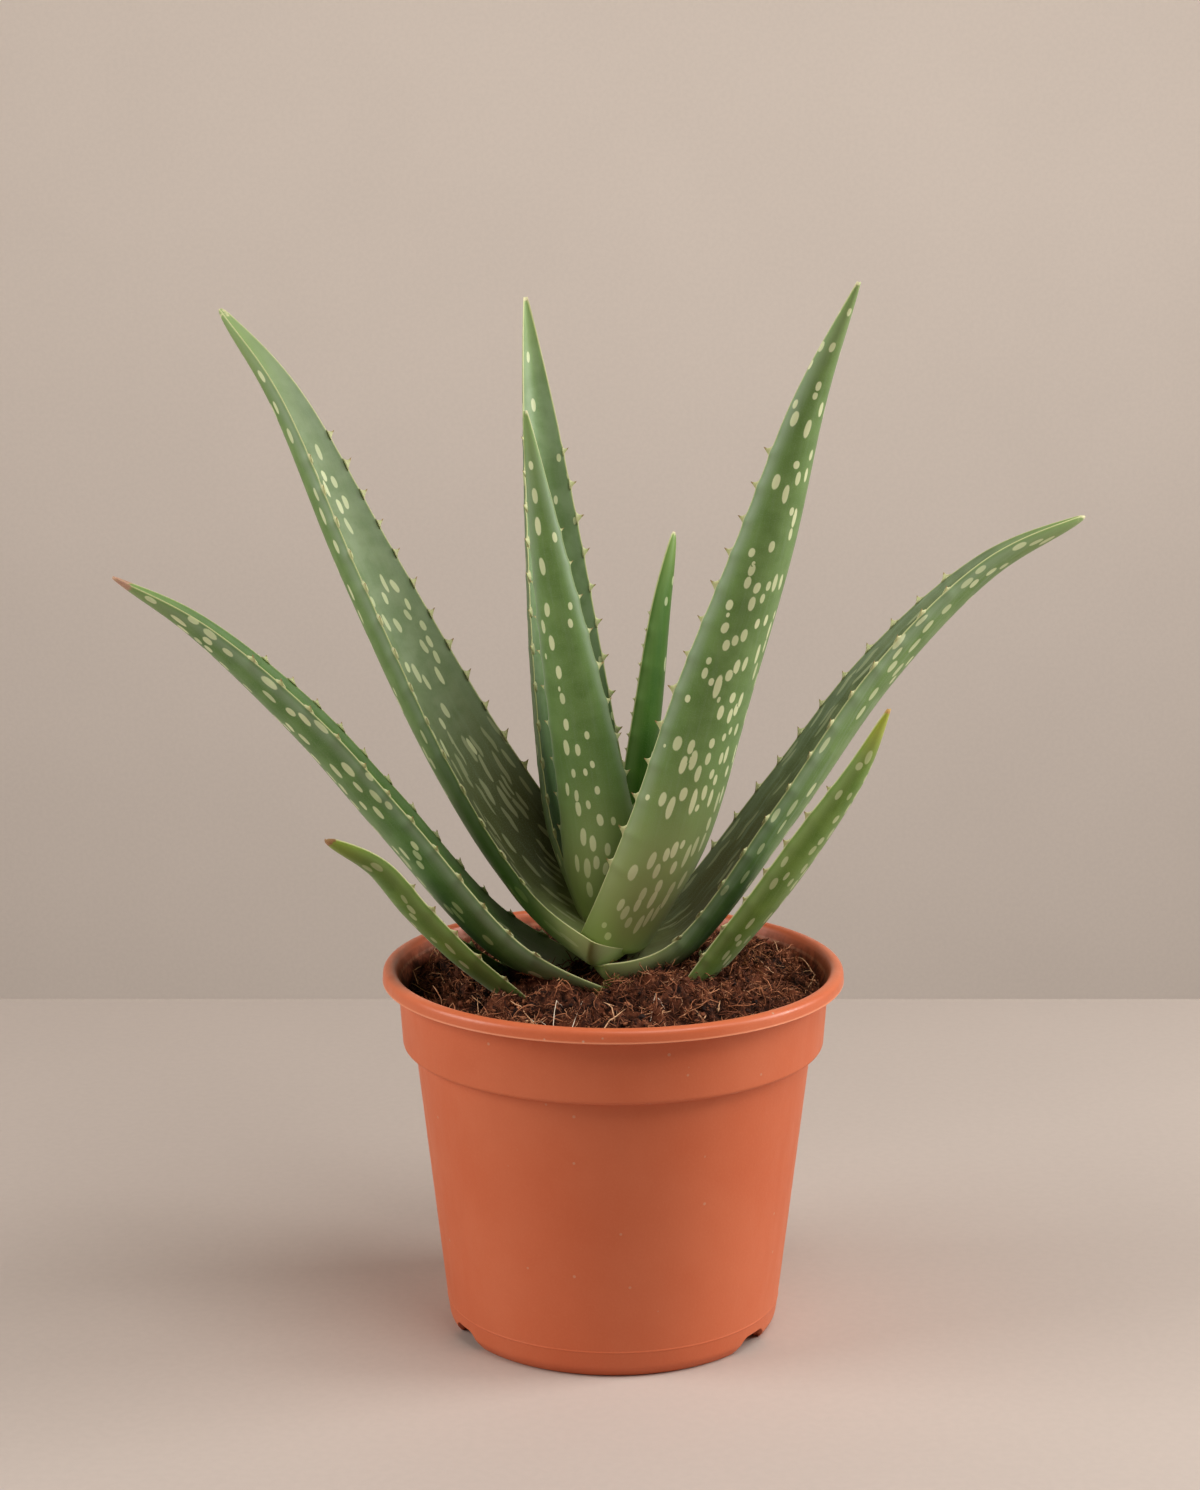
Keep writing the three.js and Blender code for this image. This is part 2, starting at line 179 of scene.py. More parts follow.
def treeOf(*values):
    return next(value.id_data for value in values if isinstance(value, bpy.types.NodeSocket))


def calc(operation, first, second, clamp=False):
    feeds = {0: first, 1: second}
    return put(treeOf(first, second), "Math", feeds, operation=operation, use_clamp=clamp).outputs[0]


def plus(first, second):
    return calc("ADD", first, second)


def minus(first, second):
    return calc("SUBTRACT", first, second)


def times(first, second, clamp=False):
    return calc("MULTIPLY", first, second, clamp)


def mixed(share, first, second, mode="MIX"):
    colours = [toLinear(*value) if isinstance(value, tuple) else value for value in (first, second)]
    feeds = {0: share, 6: colours[0], 7: colours[1]}
    return put(treeOf(share, first, second), "Mix", feeds, data_type="RGBA", blend_type=mode).outputs[2]


def band(value, start, end, low=0.0, high=1.0):
    # a soft step from low to high while the value goes from start to end
    feeds = {0: value, 1: start, 2: end, 3: low, 4: high}
    return put(value.id_data, "MapRange", feeds, interpolation_type="SMOOTHSTEP").outputs[0]


def grain(vector, scale, detail=2.0, roughness=0.5):
    feeds = {"Vector": vector, "Scale": scale, "Detail": detail, "Roughness": roughness}
    return put(vector.id_data, "TexNoise", feeds).outputs[0]


def parted(vector):
    return put(vector.id_data, "SeparateXYZ", {0: vector}).outputs


def objectPlace(tree, scale=(1, 1, 1)):
    place = put(tree, "TexCoord").outputs["Object"]
    return put(tree, "Mapping", {"Vector": place, "Scale": scale}).outputs[0]


def attribute(tree, name, output="Fac"):
    return put(tree, "Attribute", attribute_name=name).outputs[output]


def paintWith(shader, colour, roughness=None):
    shader.id_data.links.new(colour, shader.inputs["Base Color"])
    if roughness:
        shader.id_data.links.new(roughness, shader.inputs["Roughness"])


def addBump(shader, height, strength, distance):
    bump = put(shader.id_data, "Bump", {"Strength": strength, "Distance": distance, "Height": height})
    shader.id_data.links.new(bump.outputs[0], shader.inputs["Normal"])


# small tools for meshes and pieces


def extruded(bm, edges):
    made = bmesh.ops.extrude_edge_only(bm, edges=edges)["geom"]
    return [[part for part in made if isinstance(part, kind)] for kind in (bmesh.types.BMVert, bmesh.types.BMEdge)]


def closeHoles(bm):
    bmesh.ops.holes_fill(bm, edges=[edge for edge in bm.edges if edge.is_boundary], sides=0)
    bmesh.ops.recalc_face_normals(bm, faces=bm.faces)


def addMesh(bm, mesh):
    before = len(bm.verts)
    bm.from_mesh(mesh)
    bm.verts.ensure_lookup_table()
    return bm.verts[before:]


def plainMesh(name, bm):
    mesh = bpy.data.meshes.new(name)
    bm.to_mesh(mesh)
    bm.free()
    return mesh


def smoothMesh(name, bm):
    mesh = plainMesh(name, bm)
    mesh.shade_smooth()
    return mesh


def discard(meshes):
    for mesh in meshes:
        bpy.data.meshes.remove(mesh)


def finishPiece(name, mesh, material, slotName, *nodes):
    mesh.materials.clear()
    mesh.materials.append(material)
    piece = bpy.data.objects.new(name, mesh)
    bpy.context.scene.collection.objects.link(piece)
    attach(piece, "root")
    if nodes:
        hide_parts(*nodes)


# table and wall


def stageMaterial():
    material, tree, shader = startMaterial("paintedStudio", Roughness=studio["roughness"])
    place = objectPlace(tree)
    tableEnd = studio["tableBack"] * mm
    wallShare = band(parted(place)[1], originY + tableEnd * 1.5, originY + tableEnd * 2)
    cloud, fine = grain(place, studio["cloudScale"], 3.0), grain(place, studio["grainScale"], 2.0)
    paint = mixed(wallShare, studio["tableColour"], studio["wallColour"])
    shade = plus(band(cloud, 0.3, 0.7, 0.99, 1.01), band(fine, 0.3, 0.7, -0.012, 0.012))
    tone = put(tree, "CombineColor", {0: shade, 1: shade, 2: shade}).outputs[0]
    paintWith(shader, mixed(1.0, paint, tone, "MULTIPLY"))
    addBump(shader, fine, studio["bump"], studio["bumpDepth"] * mm)
    return material


def makeStage():
    side, radius, turns = studio["tableSide"], studio["edgeRadius"], studio["edgeSteps"]
    bm = bmesh.new()
    front = [bm.verts.new(atPot(x, -studio["tableFront"], 0)) for x in (-side, side)]
    edges = [bm.edges.new(front)]
    steps = [(studio["tableFront"] + studio["tableBack"] - radius, 0)]
    for i in range(turns):
        low, high = (math.radians(90 * k / turns) for k in (i, i + 1))
        steps.append((radius * (math.sin(high) - math.sin(low)), radius * (math.cos(high) - math.cos(low))))
    steps.append((0, radius - studio["tableThickness"]))
    for y, z in steps:
        verts, edges = extruded(bm, edges)
        bmesh.ops.translate(bm, verts=verts, vec=(0, y * mm, z * mm))
    low, high = studio["wallBottom"], studio["wallTop"]
    wall = Matrix.LocRotScale(atPot(0, studio["wallBack"], (low + high) / 2), Euler((math.pi / 2, 0, 0)), None)
    wall = wall @ Matrix.Diagonal((studio["wallSide"] * mm, (high - low) / 2 * mm, 1, 1))
    bmesh.ops.create_grid(bm, x_segments=1, y_segments=1, size=1.0, matrix=wall)
    mesh = smoothMesh("table", bm)
    mesh.materials.append(stageMaterial())
    floor = bpy.data.objects.new("table", mesh)
    bpy.context.scene.collection.objects.link(floor)
    floor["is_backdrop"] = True


makeStage()
print("table and wall made")


# pot

pot = {
    "height": 96.8,
    "footRadius": 41.6,
    "draft": 0.1135,
    "bodyRadius": 43.05,
    "wall": 1.4,
    "collarBottom": 76.0,
    "collarRadius": 54.7,
    "collarTopRadius": 55.9,
    "lipBottom": 93.0,
    "lipRadius": 60.0,
    "mouthRadius": 56.5,
    "floorRecess": 4.4,
    "floor": 1.6,
    "footWidth": 2.4,
    "partingHeight": 7.15,  # the fine line round the foot
    "partingSize": 0.13,
    "steps": 224,
    "sharpAngle": 38,
    "notchCount": 3,
    "notchBearing": -33.0,
    "notchWidth": 14.0,
    "notchTopWidth": 8.5,
    "notchHeight": 4.2,
    "notchInside": 8.0,
    "notchDepth": 12.0,
    "notchRounding": 1.6,
    "drainCount": 6,
    "drainRadius": 4.0,
    "drainRing": 27.0,
    "colour": (207, 112, 74),
    "lightColour": (220, 135, 99),
    "dustColour": (206, 170, 146),
    # the colour of the painted highlight along the edge under the lip
    "edgeHighlight": (238, 168, 134),
    "soilStain": (84, 44, 26),
    "cloudScale": 26.0,
    "skinScale": 1500.0,
    "scuffScale": 160.0,
    "dustScale": 430.0,
    "stainScale": 210.0,
    "stainFoot": (78.0, 82.0),  # heights between which the stain comes in and goes out
    "stainTop": (96.2, 91.5),
    # how strong the painted highlight under the lip is
    "edgeHighlightShare": 0.6,
    "roughness": (0.43, 0.55),
    "lipPolish": 0.13,
    "bump": 0.22,
    "bumpDepth": 0.12,
}


def wallRadius(z):
    return pot["bodyRadius"] + pot["draft"] * z


def collarRadius(above):
    # the outer face at a height above the collar's foot
    slope = (pot["collarTopRadius"] - pot["collarRadius"]) / (pot["lipBottom"] - pot["collarBottom"])
    return pot["collarRadius"] + slope * above


def roundedPath(corners, steps=4):
    # corners are (radius, height, rounding): each is replaced by a short curve
    path = []
    for i, (r, z, size) in enumerate(corners):
        here = Vector((r, z))
        if size <= 0 or i in (0, len(corners) - 1):
            path.append(here)
            continue
        back = Vector(corners[i - 1][:2]) - here
        ahead = Vector(corners[i + 1][:2]) - here
        start = here + back.normalized() * min(size, back.length * 0.48)
        end = here + ahead.normalized() * min(size, ahead.length * 0.48)
        for k in range(steps + 1):
            t = k / steps
            path.append(start * (1 - t) ** 2 + here * 2 * t * (1 - t) + end * t ** 2)
    return path


def potProfile():
    foot, wall, recess = pot["footRadius"], pot["wall"], pot["floorRecess"]
    floorTop = recess + pot["floor"]
    bottom, top = pot["collarBottom"], pot["height"]
    line, ridge = pot["partingHeight"], pot["partingSize"]
    lip, lipBottom, mouth = pot["lipRadius"], pot["lipBottom"], pot["mouthRadius"]
    return roundedPath([
        (0, recess, 0),
        (foot - pot["footWidth"] - 0.8, recess, 0.5),
        (foot - pot["footWidth"], 0, 0.4),
        (foot - 0.1, 0, 0.55),
        (wallRadius(2.4) - 0.1, 2.4, 0.9),
        (wallRadius(line - 0.35), line - 0.35, 0.1),
        (wallRadius(line) + ridge, line, 0.12),
        (wallRadius(line + 0.35), line + 0.35, 0.1),
        (wallRadius(bottom - 0.3), bottom - 0.3, 0.5),
        (pot["collarRadius"] - 0.6, bottom - 0.05, 0.5),
        (pot["collarRadius"] + 0.08, bottom + 0.6, 0.7),
        (pot["collarTopRadius"], lipBottom - 0.2, 0.6),
        (lip - 0.6, lipBottom + 0.05, 0.2),
        (lip - 0.06, lipBottom + 0.25, 0.18),
        (lip - 0.16, lipBottom + 0.6, 0.3),
        (lip - 0.25, top - 0.7, 1.3),
        (lip - 1.9, top, 1.2),
        (mouth + 0.2, top - 0.35, 0.7),
        (mouth - 0.5, top - 1.7, 0.6),
        (collarRadius(lipBottom - 3 - bottom) - wall, lipBottom - 3, 0.8),
        (collarRadius(1.8) - wall, bottom + 1.8, 0.8),
        (wallRadius(bottom) - wall, bottom, 0.8),
        (wallRadius(floorTop + 2) - wall, floorTop + 2, 1.6),
        (wallRadius(floorTop) - wall - 2, floorTop, 1.6),
        (0, floorTop, 0),
    ])


def latheSolid(path, steps):
    bm = bmesh.new()
    points = [bm.verts.new(Vector((p.x * mm, 0, p.y * mm))) for p in path]
    line = [bm.edges.new(pair) for pair in zip(points, points[1:])]
    bmesh.ops.spin(bm, geom=points + line, cent=(0, 0, 0), axis=(0, 0, 1), angle=math.tau,
                   steps=steps, use_merge=True)
    bmesh.ops.remove_doubles(bm, verts=bm.verts, dist=1e-6)
    bmesh.ops.recalc_face_normals(bm, faces=bm.faces)
    return bm


def notchCutter(bearing):
    half, top, height = pot["notchWidth"] / 2 + 1, pot["notchTopWidth"] / 2, pot["notchHeight"]
    start = pot["footRadius"] - pot["notchInside"]
    bm = bmesh.new()
    outline = [(-half, -1), (half, -1), (top, height), (-top, height)]
    face = bm.faces.new([bm.verts.new(Vector((start, y, z)) * mm) for y, z in outline])
    made = bmesh.ops.extrude_face_region(bm, geom=[face])["geom"]
    moved = [part for part in made if isinstance(part, bmesh.types.BMVert)]
    bmesh.ops.translate(bm, verts=moved, vec=(pot["notchDepth"] * mm, 0, 0))
    long = [e for e in bm.edges if abs(e.verts[0].co.x - e.verts[1].co.x) > mm and e.verts[0].co.z > 0]
    bmesh.ops.bevel(bm, geom=long, offset=pot["notchRounding"] * mm, offset_type="OFFSET", segments=5, profile=0.5,
                    affect="EDGES", material=-1)
    bmesh.ops.recalc_face_normals(bm, faces=bm.faces)
    bmesh.ops.rotate(bm, verts=bm.verts, cent=(0, 0, 0), matrix=Matrix.Rotation(math.radians(bearing), 3, "Z"))
    return bm


def drainCutter(bearing):
    bm = bmesh.new()
    centre = Vector((pot["drainRing"], 0, pot["floorRecess"])) * mm
    place = Matrix.Rotation(math.radians(bearing), 4, "Z") @ Matrix.Translation(centre)
    radius = pot["drainRadius"] * mm
    bmesh.ops.create_cone(bm, cap_ends=True, segments=40, radius1=radius, radius2=radius, depth=12 * mm, matrix=place)
    return bm


def carve(mesh, cutters):
    body = bpy.data.objects.new("body", mesh)
    bpy.context.scene.collection.objects.link(body)
    tools = []
    for cutter in cutters:
        tool = bpy.data.objects.new("tool", smoothMesh("tool", cutter))
        bpy.context.scene.collection.objects.link(tool)
        cut = body.modifiers.new("cut", "BOOLEAN")
        cut.object, cut.operation, cut.solver = tool, "DIFFERENCE", "EXACT"
        tools.append(tool)
    bpy.context.view_layer.update()
    carved = bpy.data.meshes.new_from_object(body.evaluated_get(bpy.context.evaluated_depsgraph_get()))
    for old in [body, *tools]:
        bpy.data.objects.remove(old)
    return carved


def dustSpecks(place, lip):
    # sparse, and more of them on the lip
    cells = put(place.id_data, "TexVoronoi", {"Vector": place, "Scale": pot["dustScale"]}, feature="F1").outputs
    rare = band(put(place.id_data, "SeparateColor", {0: cells["Color"]}).outputs[0], 0.955, 0.965)
    return times(times(rare, band(cells["Distance"], 0.22, 0.12)), band(lip, 0.0, 1.0, 0.5, 0.9))


def soilStain(place, height):
    # soil dust above the mix, on the inner face only
    bottom, under = pot["collarBottom"] * mm, pot["lipBottom"] * mm
    centred = put(place.id_data, "Mapping", {"Vector": place, "Scale": (1, 1, 0), "Location": (-originX, -originY, 0)})
    radius = put(place.id_data, "VectorMath", {0: centred.outputs[0]}, operation="LENGTH").outputs["Value"]
    low, high = ((pot[key] - pot["wall"] / 2) * mm for key in ("collarRadius", "collarTopRadius"))
    face = put(place.id_data, "MapRange", {0: height, 1: bottom, 2: under, 3: low, 4: high}).outputs[0]
    face = plus(face, band(height, under - 2 * mm, under, 0.0, 1.1 * mm))
    footStart, footEnd, topStart, topEnd = (edge * mm for key in ("stainFoot", "stainTop") for edge in pot[key])
    inside = times(band(minus(face, radius), 0.0, 0.3 * mm), band(height, footStart, footEnd))
    stain = times(inside, band(grain(place, pot["stainScale"], 5.0, 0.7), 0.38, 0.62, 0.45, 0.95))
    return times(stain, band(height, topStart, topEnd, 0.2, 1.0))


def potMaterial():
    material, tree, shader = startMaterial("terracottaPlastic", IOR=1.47)
    place = objectPlace(tree)
    height = parted(place)[2]
    lipFoot = pot["lipBottom"] * mm
    lip = band(height, (pot["lipBottom"] - 0.2) * mm, (pot["lipBottom"] + 0.4) * mm)
    cloud, skin = grain(place, pot["cloudScale"], 4.0, 0.6), grain(place, pot["skinScale"], 3.0, 0.65)
    scuff = grain(objectPlace(tree, (1, 1, 0.25)), pot["scuffScale"], 4.0, 0.7)
    colour = mixed(band(cloud, 0.3, 0.72, 0.0, 0.35), pot["colour"], pot["lightColour"])
    colour = mixed(band(skin, 0.42, 0.8, 0.0, 0.16), colour, pot["lightColour"])
    colour = mixed(dustSpecks(place, lip), colour, pot["dustColour"])
    # a painted highlight along the moulded edge under the lip
    edge = times(band(height, lipFoot - 0.3 * mm, lipFoot), band(height, lipFoot + 0.9 * mm, lipFoot + 0.4 * mm))
    colour = mixed(times(edge, pot["edgeHighlightShare"]), colour, pot["edgeHighlight"])
    stain = soilStain(place, height)
    rough = plus(band(scuff, 0.3, 0.7, *pot["roughness"]), times(lip, -pot["lipPolish"]))
    paintWith(shader, mixed(stain, colour, pot["soilStain"]), plus(rough, times(stain, 0.35)))
    relief = plus(times(skin, minus(1.0, times(lip, 0.7))), times(cloud, 0.6))
    addBump(shader, relief, pot["bump"], pot["bumpDepth"] * mm)
    return material


def makePot():
    body = smoothMesh("pot", latheSolid(potProfile(), pot["steps"]))
    notches, drains = pot["notchCount"], pot["drainCount"]
    cutters = [notchCutter(pot["notchBearing"] + 360 * i / notches) for i in range(notches)]
    cutters += [drainCutter(360 * i / drains) for i in range(drains)]
    mesh = carve(body, cutters)
    mesh.transform(Matrix.Translation((originX, originY, 0)))
    mesh.shade_smooth()
    mesh.set_sharp_from_angle(angle=math.radians(pot["sharpAngle"]))
    finishPiece("nurseryPot", mesh, potMaterial(), "pot", "pot")


makePot()
print("pot made")


# soil

soil = {
    "edgeHeight": 90.0,
    "wallContact": 85.5,
    "clearance": 0.35,  # from the pot's inner faces
    "crown": 96.5,
    "rise": 30.0,
    "bump": 2.0,
    "hollow": (-50.0, -4.0, 4.0, 120.0),  # place, depth and spread
    "mounds": [(45, 14, 1.8, 90), (-18, -17, 1.6, 40), (14, -30, 1.2, 50), (-44, 20, 1.5, 60), (30, -34, 1.2, 40)],
    "pits": [(-6, -25, 6.0, 7), (32, -20, 5.0, 7), (-34, -27, 4.0, 6), (8, -39, 3.0, 5), (47, -6, 4.0, 8),
             (20, -43, 2.5, 5), (-18, -40, 2.5, 6), (-46, -14, 3.0, 8)],
    "rings": 150,
    "steps": 520,
    "dark": (32, 15, 9),
    "brown": (114, 66, 43),
    "light": (184, 124, 88),
    "straw": (226, 182, 142),
    "pale": (226, 212, 192),
    "reach": 53.4,  # how far from the axis loose bits lie
    "fibreCount": 9600,
    "fibreKinds": 18,
    "fibreCurl": 0.55,
    "fibreLengths": (2.4, 8.0),
    "crumbCount": 2600,
    "crumbKinds": 8,
    "crumbSizes": (0.3, 1.25),
    # loose straws and roots, along the photograph's own pixels
    "straws": [
        [(403, 937), (412, 941), (424, 957)], [(392, 963), (397, 973), (410, 982), (426, 997)],
        [(440, 955), (438, 961), (436, 968)], [(477, 993), (478, 1003), (478, 1012)],
        [(465, 975), (474, 981), (483, 990)], [(831, 949), (823, 960), (815, 975), (808, 990)],
        [(795, 974), (803, 971), (812, 975)], [(790, 933), (784, 939), (780, 947)],
        [(717, 990), (718, 1001), (720, 1012)], [(638, 965), (635, 972), (634, 980)],
        [(688, 965), (685, 968), (684, 972)], [(585, 1025), (610, 1014), (625, 1003)],
        [(500, 1010), (520, 1006), (541, 1012)], [(690, 1000), (704, 996), (716, 1003)],
        [(760, 960), (771, 966), (786, 964)], [(430, 975), (441, 981), (449, 992)],
    ],
    "roots": [
        [(545, 1010), (556, 1002), (562, 1001)], [(528, 1012), (549, 1009), (570, 1010)],
        [(650, 1012), (655, 1003), (665, 1000)], [(536, 1017), (560, 1019), (583, 1018)],
    ],
    "mossPlace": (608, 993),
    "mossCount": 220,
    "mossSpread": (1.7, 1.2),
    "mossLengths": (1.4, 3.4),
    "moss": (134, 138, 62),
    "mossDark": (66, 74, 24),
    "clumpScale": 130.0,
    "grainScale": 900.0,
    "strandGrain": 700.0,
    "roughness": 0.92,
    "bumpStrength": 0.9,
    "bumpDepth": 0.5,
}


def ease(value, low, high):
    t = min(max((value - low) / (high - low), 0.0), 1.0)
    return t * t * (3 - 2 * t)


def lumps(x, y):
    bendX = x + 6.2 * math.sin(y * 0.13)
    bendY = y + 4.6 * math.sin(x * 0.17 + 2)
    coarse = math.sin(bendX * 0.21) * math.sin(bendY * 0.24)
    middle = math.sin(x * 0.47 + y * 0.19 + 0.7) * math.sin(y * 0.52 - x * 0.23 + 1.9)
    fine = math.sin(x * 0.93 - y * 0.41 + 3.1) * math.sin(y * 0.97 + x * 0.37 + 0.4)
    return coarse + 0.6 * middle + 0.35 * fine


def mound(x, y, at):
    middleX, middleY, size, spread = at
    return size * math.exp(-((x - middleX) ** 2 + (y - middleY) ** 2) / spread)


def soilHeight(x, y):
    # the solid's own surface, with mounds and pits that the photo shows
    inland = pot["collarTopRadius"] - math.hypot(x, y)
    relief = 0.4 + 0.6 * ease(inland, 0, 6)
    rise = (soil["crown"] - soil["edgeHeight"]) * ease(inland, 0, soil["rise"])
    height = soil["edgeHeight"] + rise - mound(x, y, soil["hollow"])
    height += soil["bump"] * relief * lumps(x, y)
    for at in soil["mounds"]:
        height += mound(x, y, at)
    for at in soil["pits"]:
        height -= mound(x, y, at)
    return height


def crumble(x, y):
    # crumbs and fibre bundles, about a millimetre high
    spot = Vector((x, y, 3.7))
    bulges = noise.multi_fractal(spot * 0.33, 0.9, 2.1, 4) - 1.0
    ridges = noise.ridged_multi_fractal(spot * 0.45 + Vector((9, 4, 0)), 0.85, 2.2, 4, 0.9, 2.0) - 1.0
    grit = noise.noise(spot * 2.3)
    return 1.55 * bulges + 0.85 * ridges + 0.45 * grit


def surfaceHeight(x, y):
    inland = ease(pot["collarTopRadius"] - pot["wall"] - math.hypot(x, y), 0, 3)
    return soilHeight(x, y) + crumble(x, y) * (0.4 + 0.6 * inland)


def soilPoint(pixelX, pixelY, lift):
    # where the camera sees the soil at a place of the photograph
    right = (pixelX - studio["photoWidth"] / 2) / focal
    rise = (studio["photoHeight"] / 2 - pixelY) / focal
    down, ahead = math.sin(cameraPitch), math.cos(cameraPitch)
    ray = Vector((right, ahead + rise * down, rise * ahead - down))
    camera = Vector(studio["cameraPlace"])
    height = soil["crown"]
    for _ in range(5):  # each round comes closer to the uneven surface
        point = camera + ray * ((height - camera.z) / ray.z)
        reach = min(1.0, soil["reach"] / math.hypot(point.x, point.y))
        height = surfaceHeight(point.x * reach, point.y * reach) + lift
    return Vector((point.x * reach, point.y * reach, height))


def soilMaterial():
    material, tree, shader = startMaterial("coirMix", IOR=1.4, Roughness=soil["roughness"])
    place = objectPlace(tree)
    clump, fine = grain(place, soil["clumpScale"], 6.0, 0.7), grain(place, soil["grainScale"], 4.0, 0.7)
    colour = mixed(band(clump, 0.36, 0.62), soil["dark"], soil["brown"])
    colour = mixed(band(fine, 0.52, 0.72, 0.0, 0.75), colour, soil["light"])
    # painted shade: the mix turns dark down in the hollows between its crumbs
    paintWith(shader, mixed(band(attribute(tree, "hollow"), -0.2, 1.5, 0.0, 0.9), colour, soil["dark"]))
    addBump(shader, fine, soil["bumpStrength"], soil["bumpDepth"] * mm)
    return material


def strandMaterial(name, tints, roughness):
    # one tint for each strand, a little uneven along it
    material, tree, shader = startMaterial(name, IOR=1.4, Roughness=roughness)
    uneven = grain(objectPlace(tree), soil["strandGrain"], 3.0, 0.6)
    shade = plus(attribute(tree, "tint"), band(uneven, 0.3, 0.7, -0.1, 0.1))
    colour, steps = tints[0], len(tints) - 1
    for number, tint in enumerate(tints[1:]):
        colour = mixed(band(shade, number / steps, (number + 1) / steps), colour, tint)
    paintWith(shader, colour)
    return material


def rodMesh(path, radii, sides):
    # a thin rod that follows a path, closed at both ends
    bm = bmesh.new()
    ahead = [(end - start).normalized() for start, end in zip(path, path[1:])]
    ahead.append(ahead[-1])
    turn = ahead[0].to_track_quat("Z", "Y").to_matrix().to_4x4()
    bmesh.ops.create_circle(bm, segments=sides, radius=radii[0], matrix=Matrix.Translation(path[0]) @ turn)
    edges = list(bm.edges)
    for i in range(1, len(path)):
        verts, edges = extruded(bm, edges)
        bmesh.ops.translate(bm, verts=verts, vec=path[i] - path[i - 1])
        bmesh.ops.rotate(bm, verts=verts, cent=path[i], matrix=ahead[i - 1].rotation_difference(ahead[i]).to_matrix())
        bmesh.ops.scale(bm, verts=verts, vec=[radii[i] / radii[i - 1]] * 3, space=Matrix.Translation(-path[i]))
    closeHoles(bm)
    return plainMesh("rod", bm)


def fibreShapes(chance, count, curl):
    # curly fibres one unit long, about their own middle
    shapes = []
    steps, thickness = 5, 0.023
    for _ in range(count):
        path, heading = [Vector((0, 0, 0))], Vector((1, 0, 0))
        for _ in range(steps):
            bend = Vector([chance.uniform(-curl, curl) for _ in range(3)])
            heading = (heading + bend).normalized()
            path.append(path[-1] + heading / steps)
        middle = (path[0] + path[-1]) / 2
        radii = [thickness * share for share in (0.6, 1.0, 1.0, 0.9, 0.7, 0.3)]
        shapes.append(rodMesh([point - middle for point in path], radii, 3))
    return shapes


def crumbShapes(chance, count):
    shapes = []
    for _ in range(count):
        bm = bmesh.new()
        bmesh.ops.create_icosphere(bm, subdivisions=1, radius=1.0)
        squash = Vector([chance.uniform(0.45, 1.0) for _ in range(3)])
        for vert in bm.verts:
            vert.co = vert.co * squash * chance.uniform(0.5, 1.3)
        shapes.append(plainMesh("crumb", bm))
    return shapes


def scatterShapes(name, shapes, places, batch=50):
    # places are a matrix and a tint for each copy; small batches are quick to join
    batches = []
    for start in range(0, len(places), batch):
        bm = bmesh.new()
        layer = bm.verts.layers.float.new("tint")
        for number, (place, tint) in enumerate(places[start:start + batch], start):
            verts = addMesh(bm, shapes[number % len(shapes)])
            bmesh.ops.transform(bm, matrix=place, verts=verts)
            for vert in verts:
                vert[layer] = tint
        batches.append(smoothMesh(name, bm))
    bm = bmesh.new()
    for mesh in batches:
        bm.from_mesh(mesh)
    discard(batches)
    return smoothMesh(name, bm)


def turned(yaw, tilt):
    return Matrix.Rotation(yaw, 4, "Z") @ Matrix.Rotation(math.radians(tilt), 4, "Y")


def lying(chance, sizes, pitch, lift):
    # a turned and scaled place on the soil, clear of the pot's wall
    low, high = sizes
    size = low + (high - low) * chance.random() ** 2
    angle, reach = chance.uniform(0, math.tau), soil["reach"] * math.sqrt(chance.random())
    yaw = chance.uniform(0, math.tau)
    if reach + size / 2 > soil["reach"]:
        yaw = angle + math.pi / 2 + chance.uniform(-0.15, 0.15)
        reach = min(reach, soil["reach"] - 0.12 * size)
    x, y = reach * math.cos(angle), reach * math.sin(angle)
    height = surfaceHeight(x, y) + chance.uniform(*lift)
    turn = turned(yaw, chance.uniform(-pitch, pitch))
    return Matrix.Translation(atPot(x, y, height)) @ turn @ Matrix.Scale(size * mm, 4)


def makeFibres():
    chance = random.Random(5)
    shapes = fibreShapes(chance, soil["fibreKinds"], soil["fibreCurl"])
    material = strandMaterial("coirFibres", [soil[key] for key in ("dark", "brown", "light", "straw")], 0.75)
    for name in ("fineFibres", "coarseFibres"):
        places = []
        for _ in range(soil["fibreCount"] // 2):
            place = lying(chance, soil["fibreLengths"], 30, (-0.35, 0.85))
            x, y, _ = (place.translation - atPot(0, 0, 0)) / mm
            lit = 0.25 + 0.8 * ease(crumble(x, y), -1.5, 1.0)  # painted shade: fibres down in the hollows are darker
            places.append((place, (0.16 + 0.84 * chance.random() ** 1.4) * lit))
        finishPiece(name, scatterShapes(name, shapes, places), material, "soil")
    crumbs = crumbShapes(chance, soil["crumbKinds"])
    places = [(lying(chance, soil["crumbSizes"], 180, (-0.2, 0.3)), 0.6 * chance.random())
              for _ in range(soil["crumbCount"])]
    finishPiece("crumbs", scatterShapes("crumbs", crumbs, places), material, "soil")
    discard(shapes + crumbs)


def strandPath(marks, chance):
    # through the marked places, lifted between its ends and a little uneven
    last = len(marks) - 1
    points = [soilPoint(*mark, 0.5 if number in (0, last) else 1.6) for number, mark in enumerate(marks)]
    path = []
    for k in range(4 * last + 1):
        at = k / (4 * last) * last
        first = min(int(at), last - 1)
        wobble = Vector([chance.uniform(-0.14, 0.14) for _ in range(3)])
        path.append(atPot(*(points[first].lerp(points[first + 1], at - first) + wobble)))
    return path


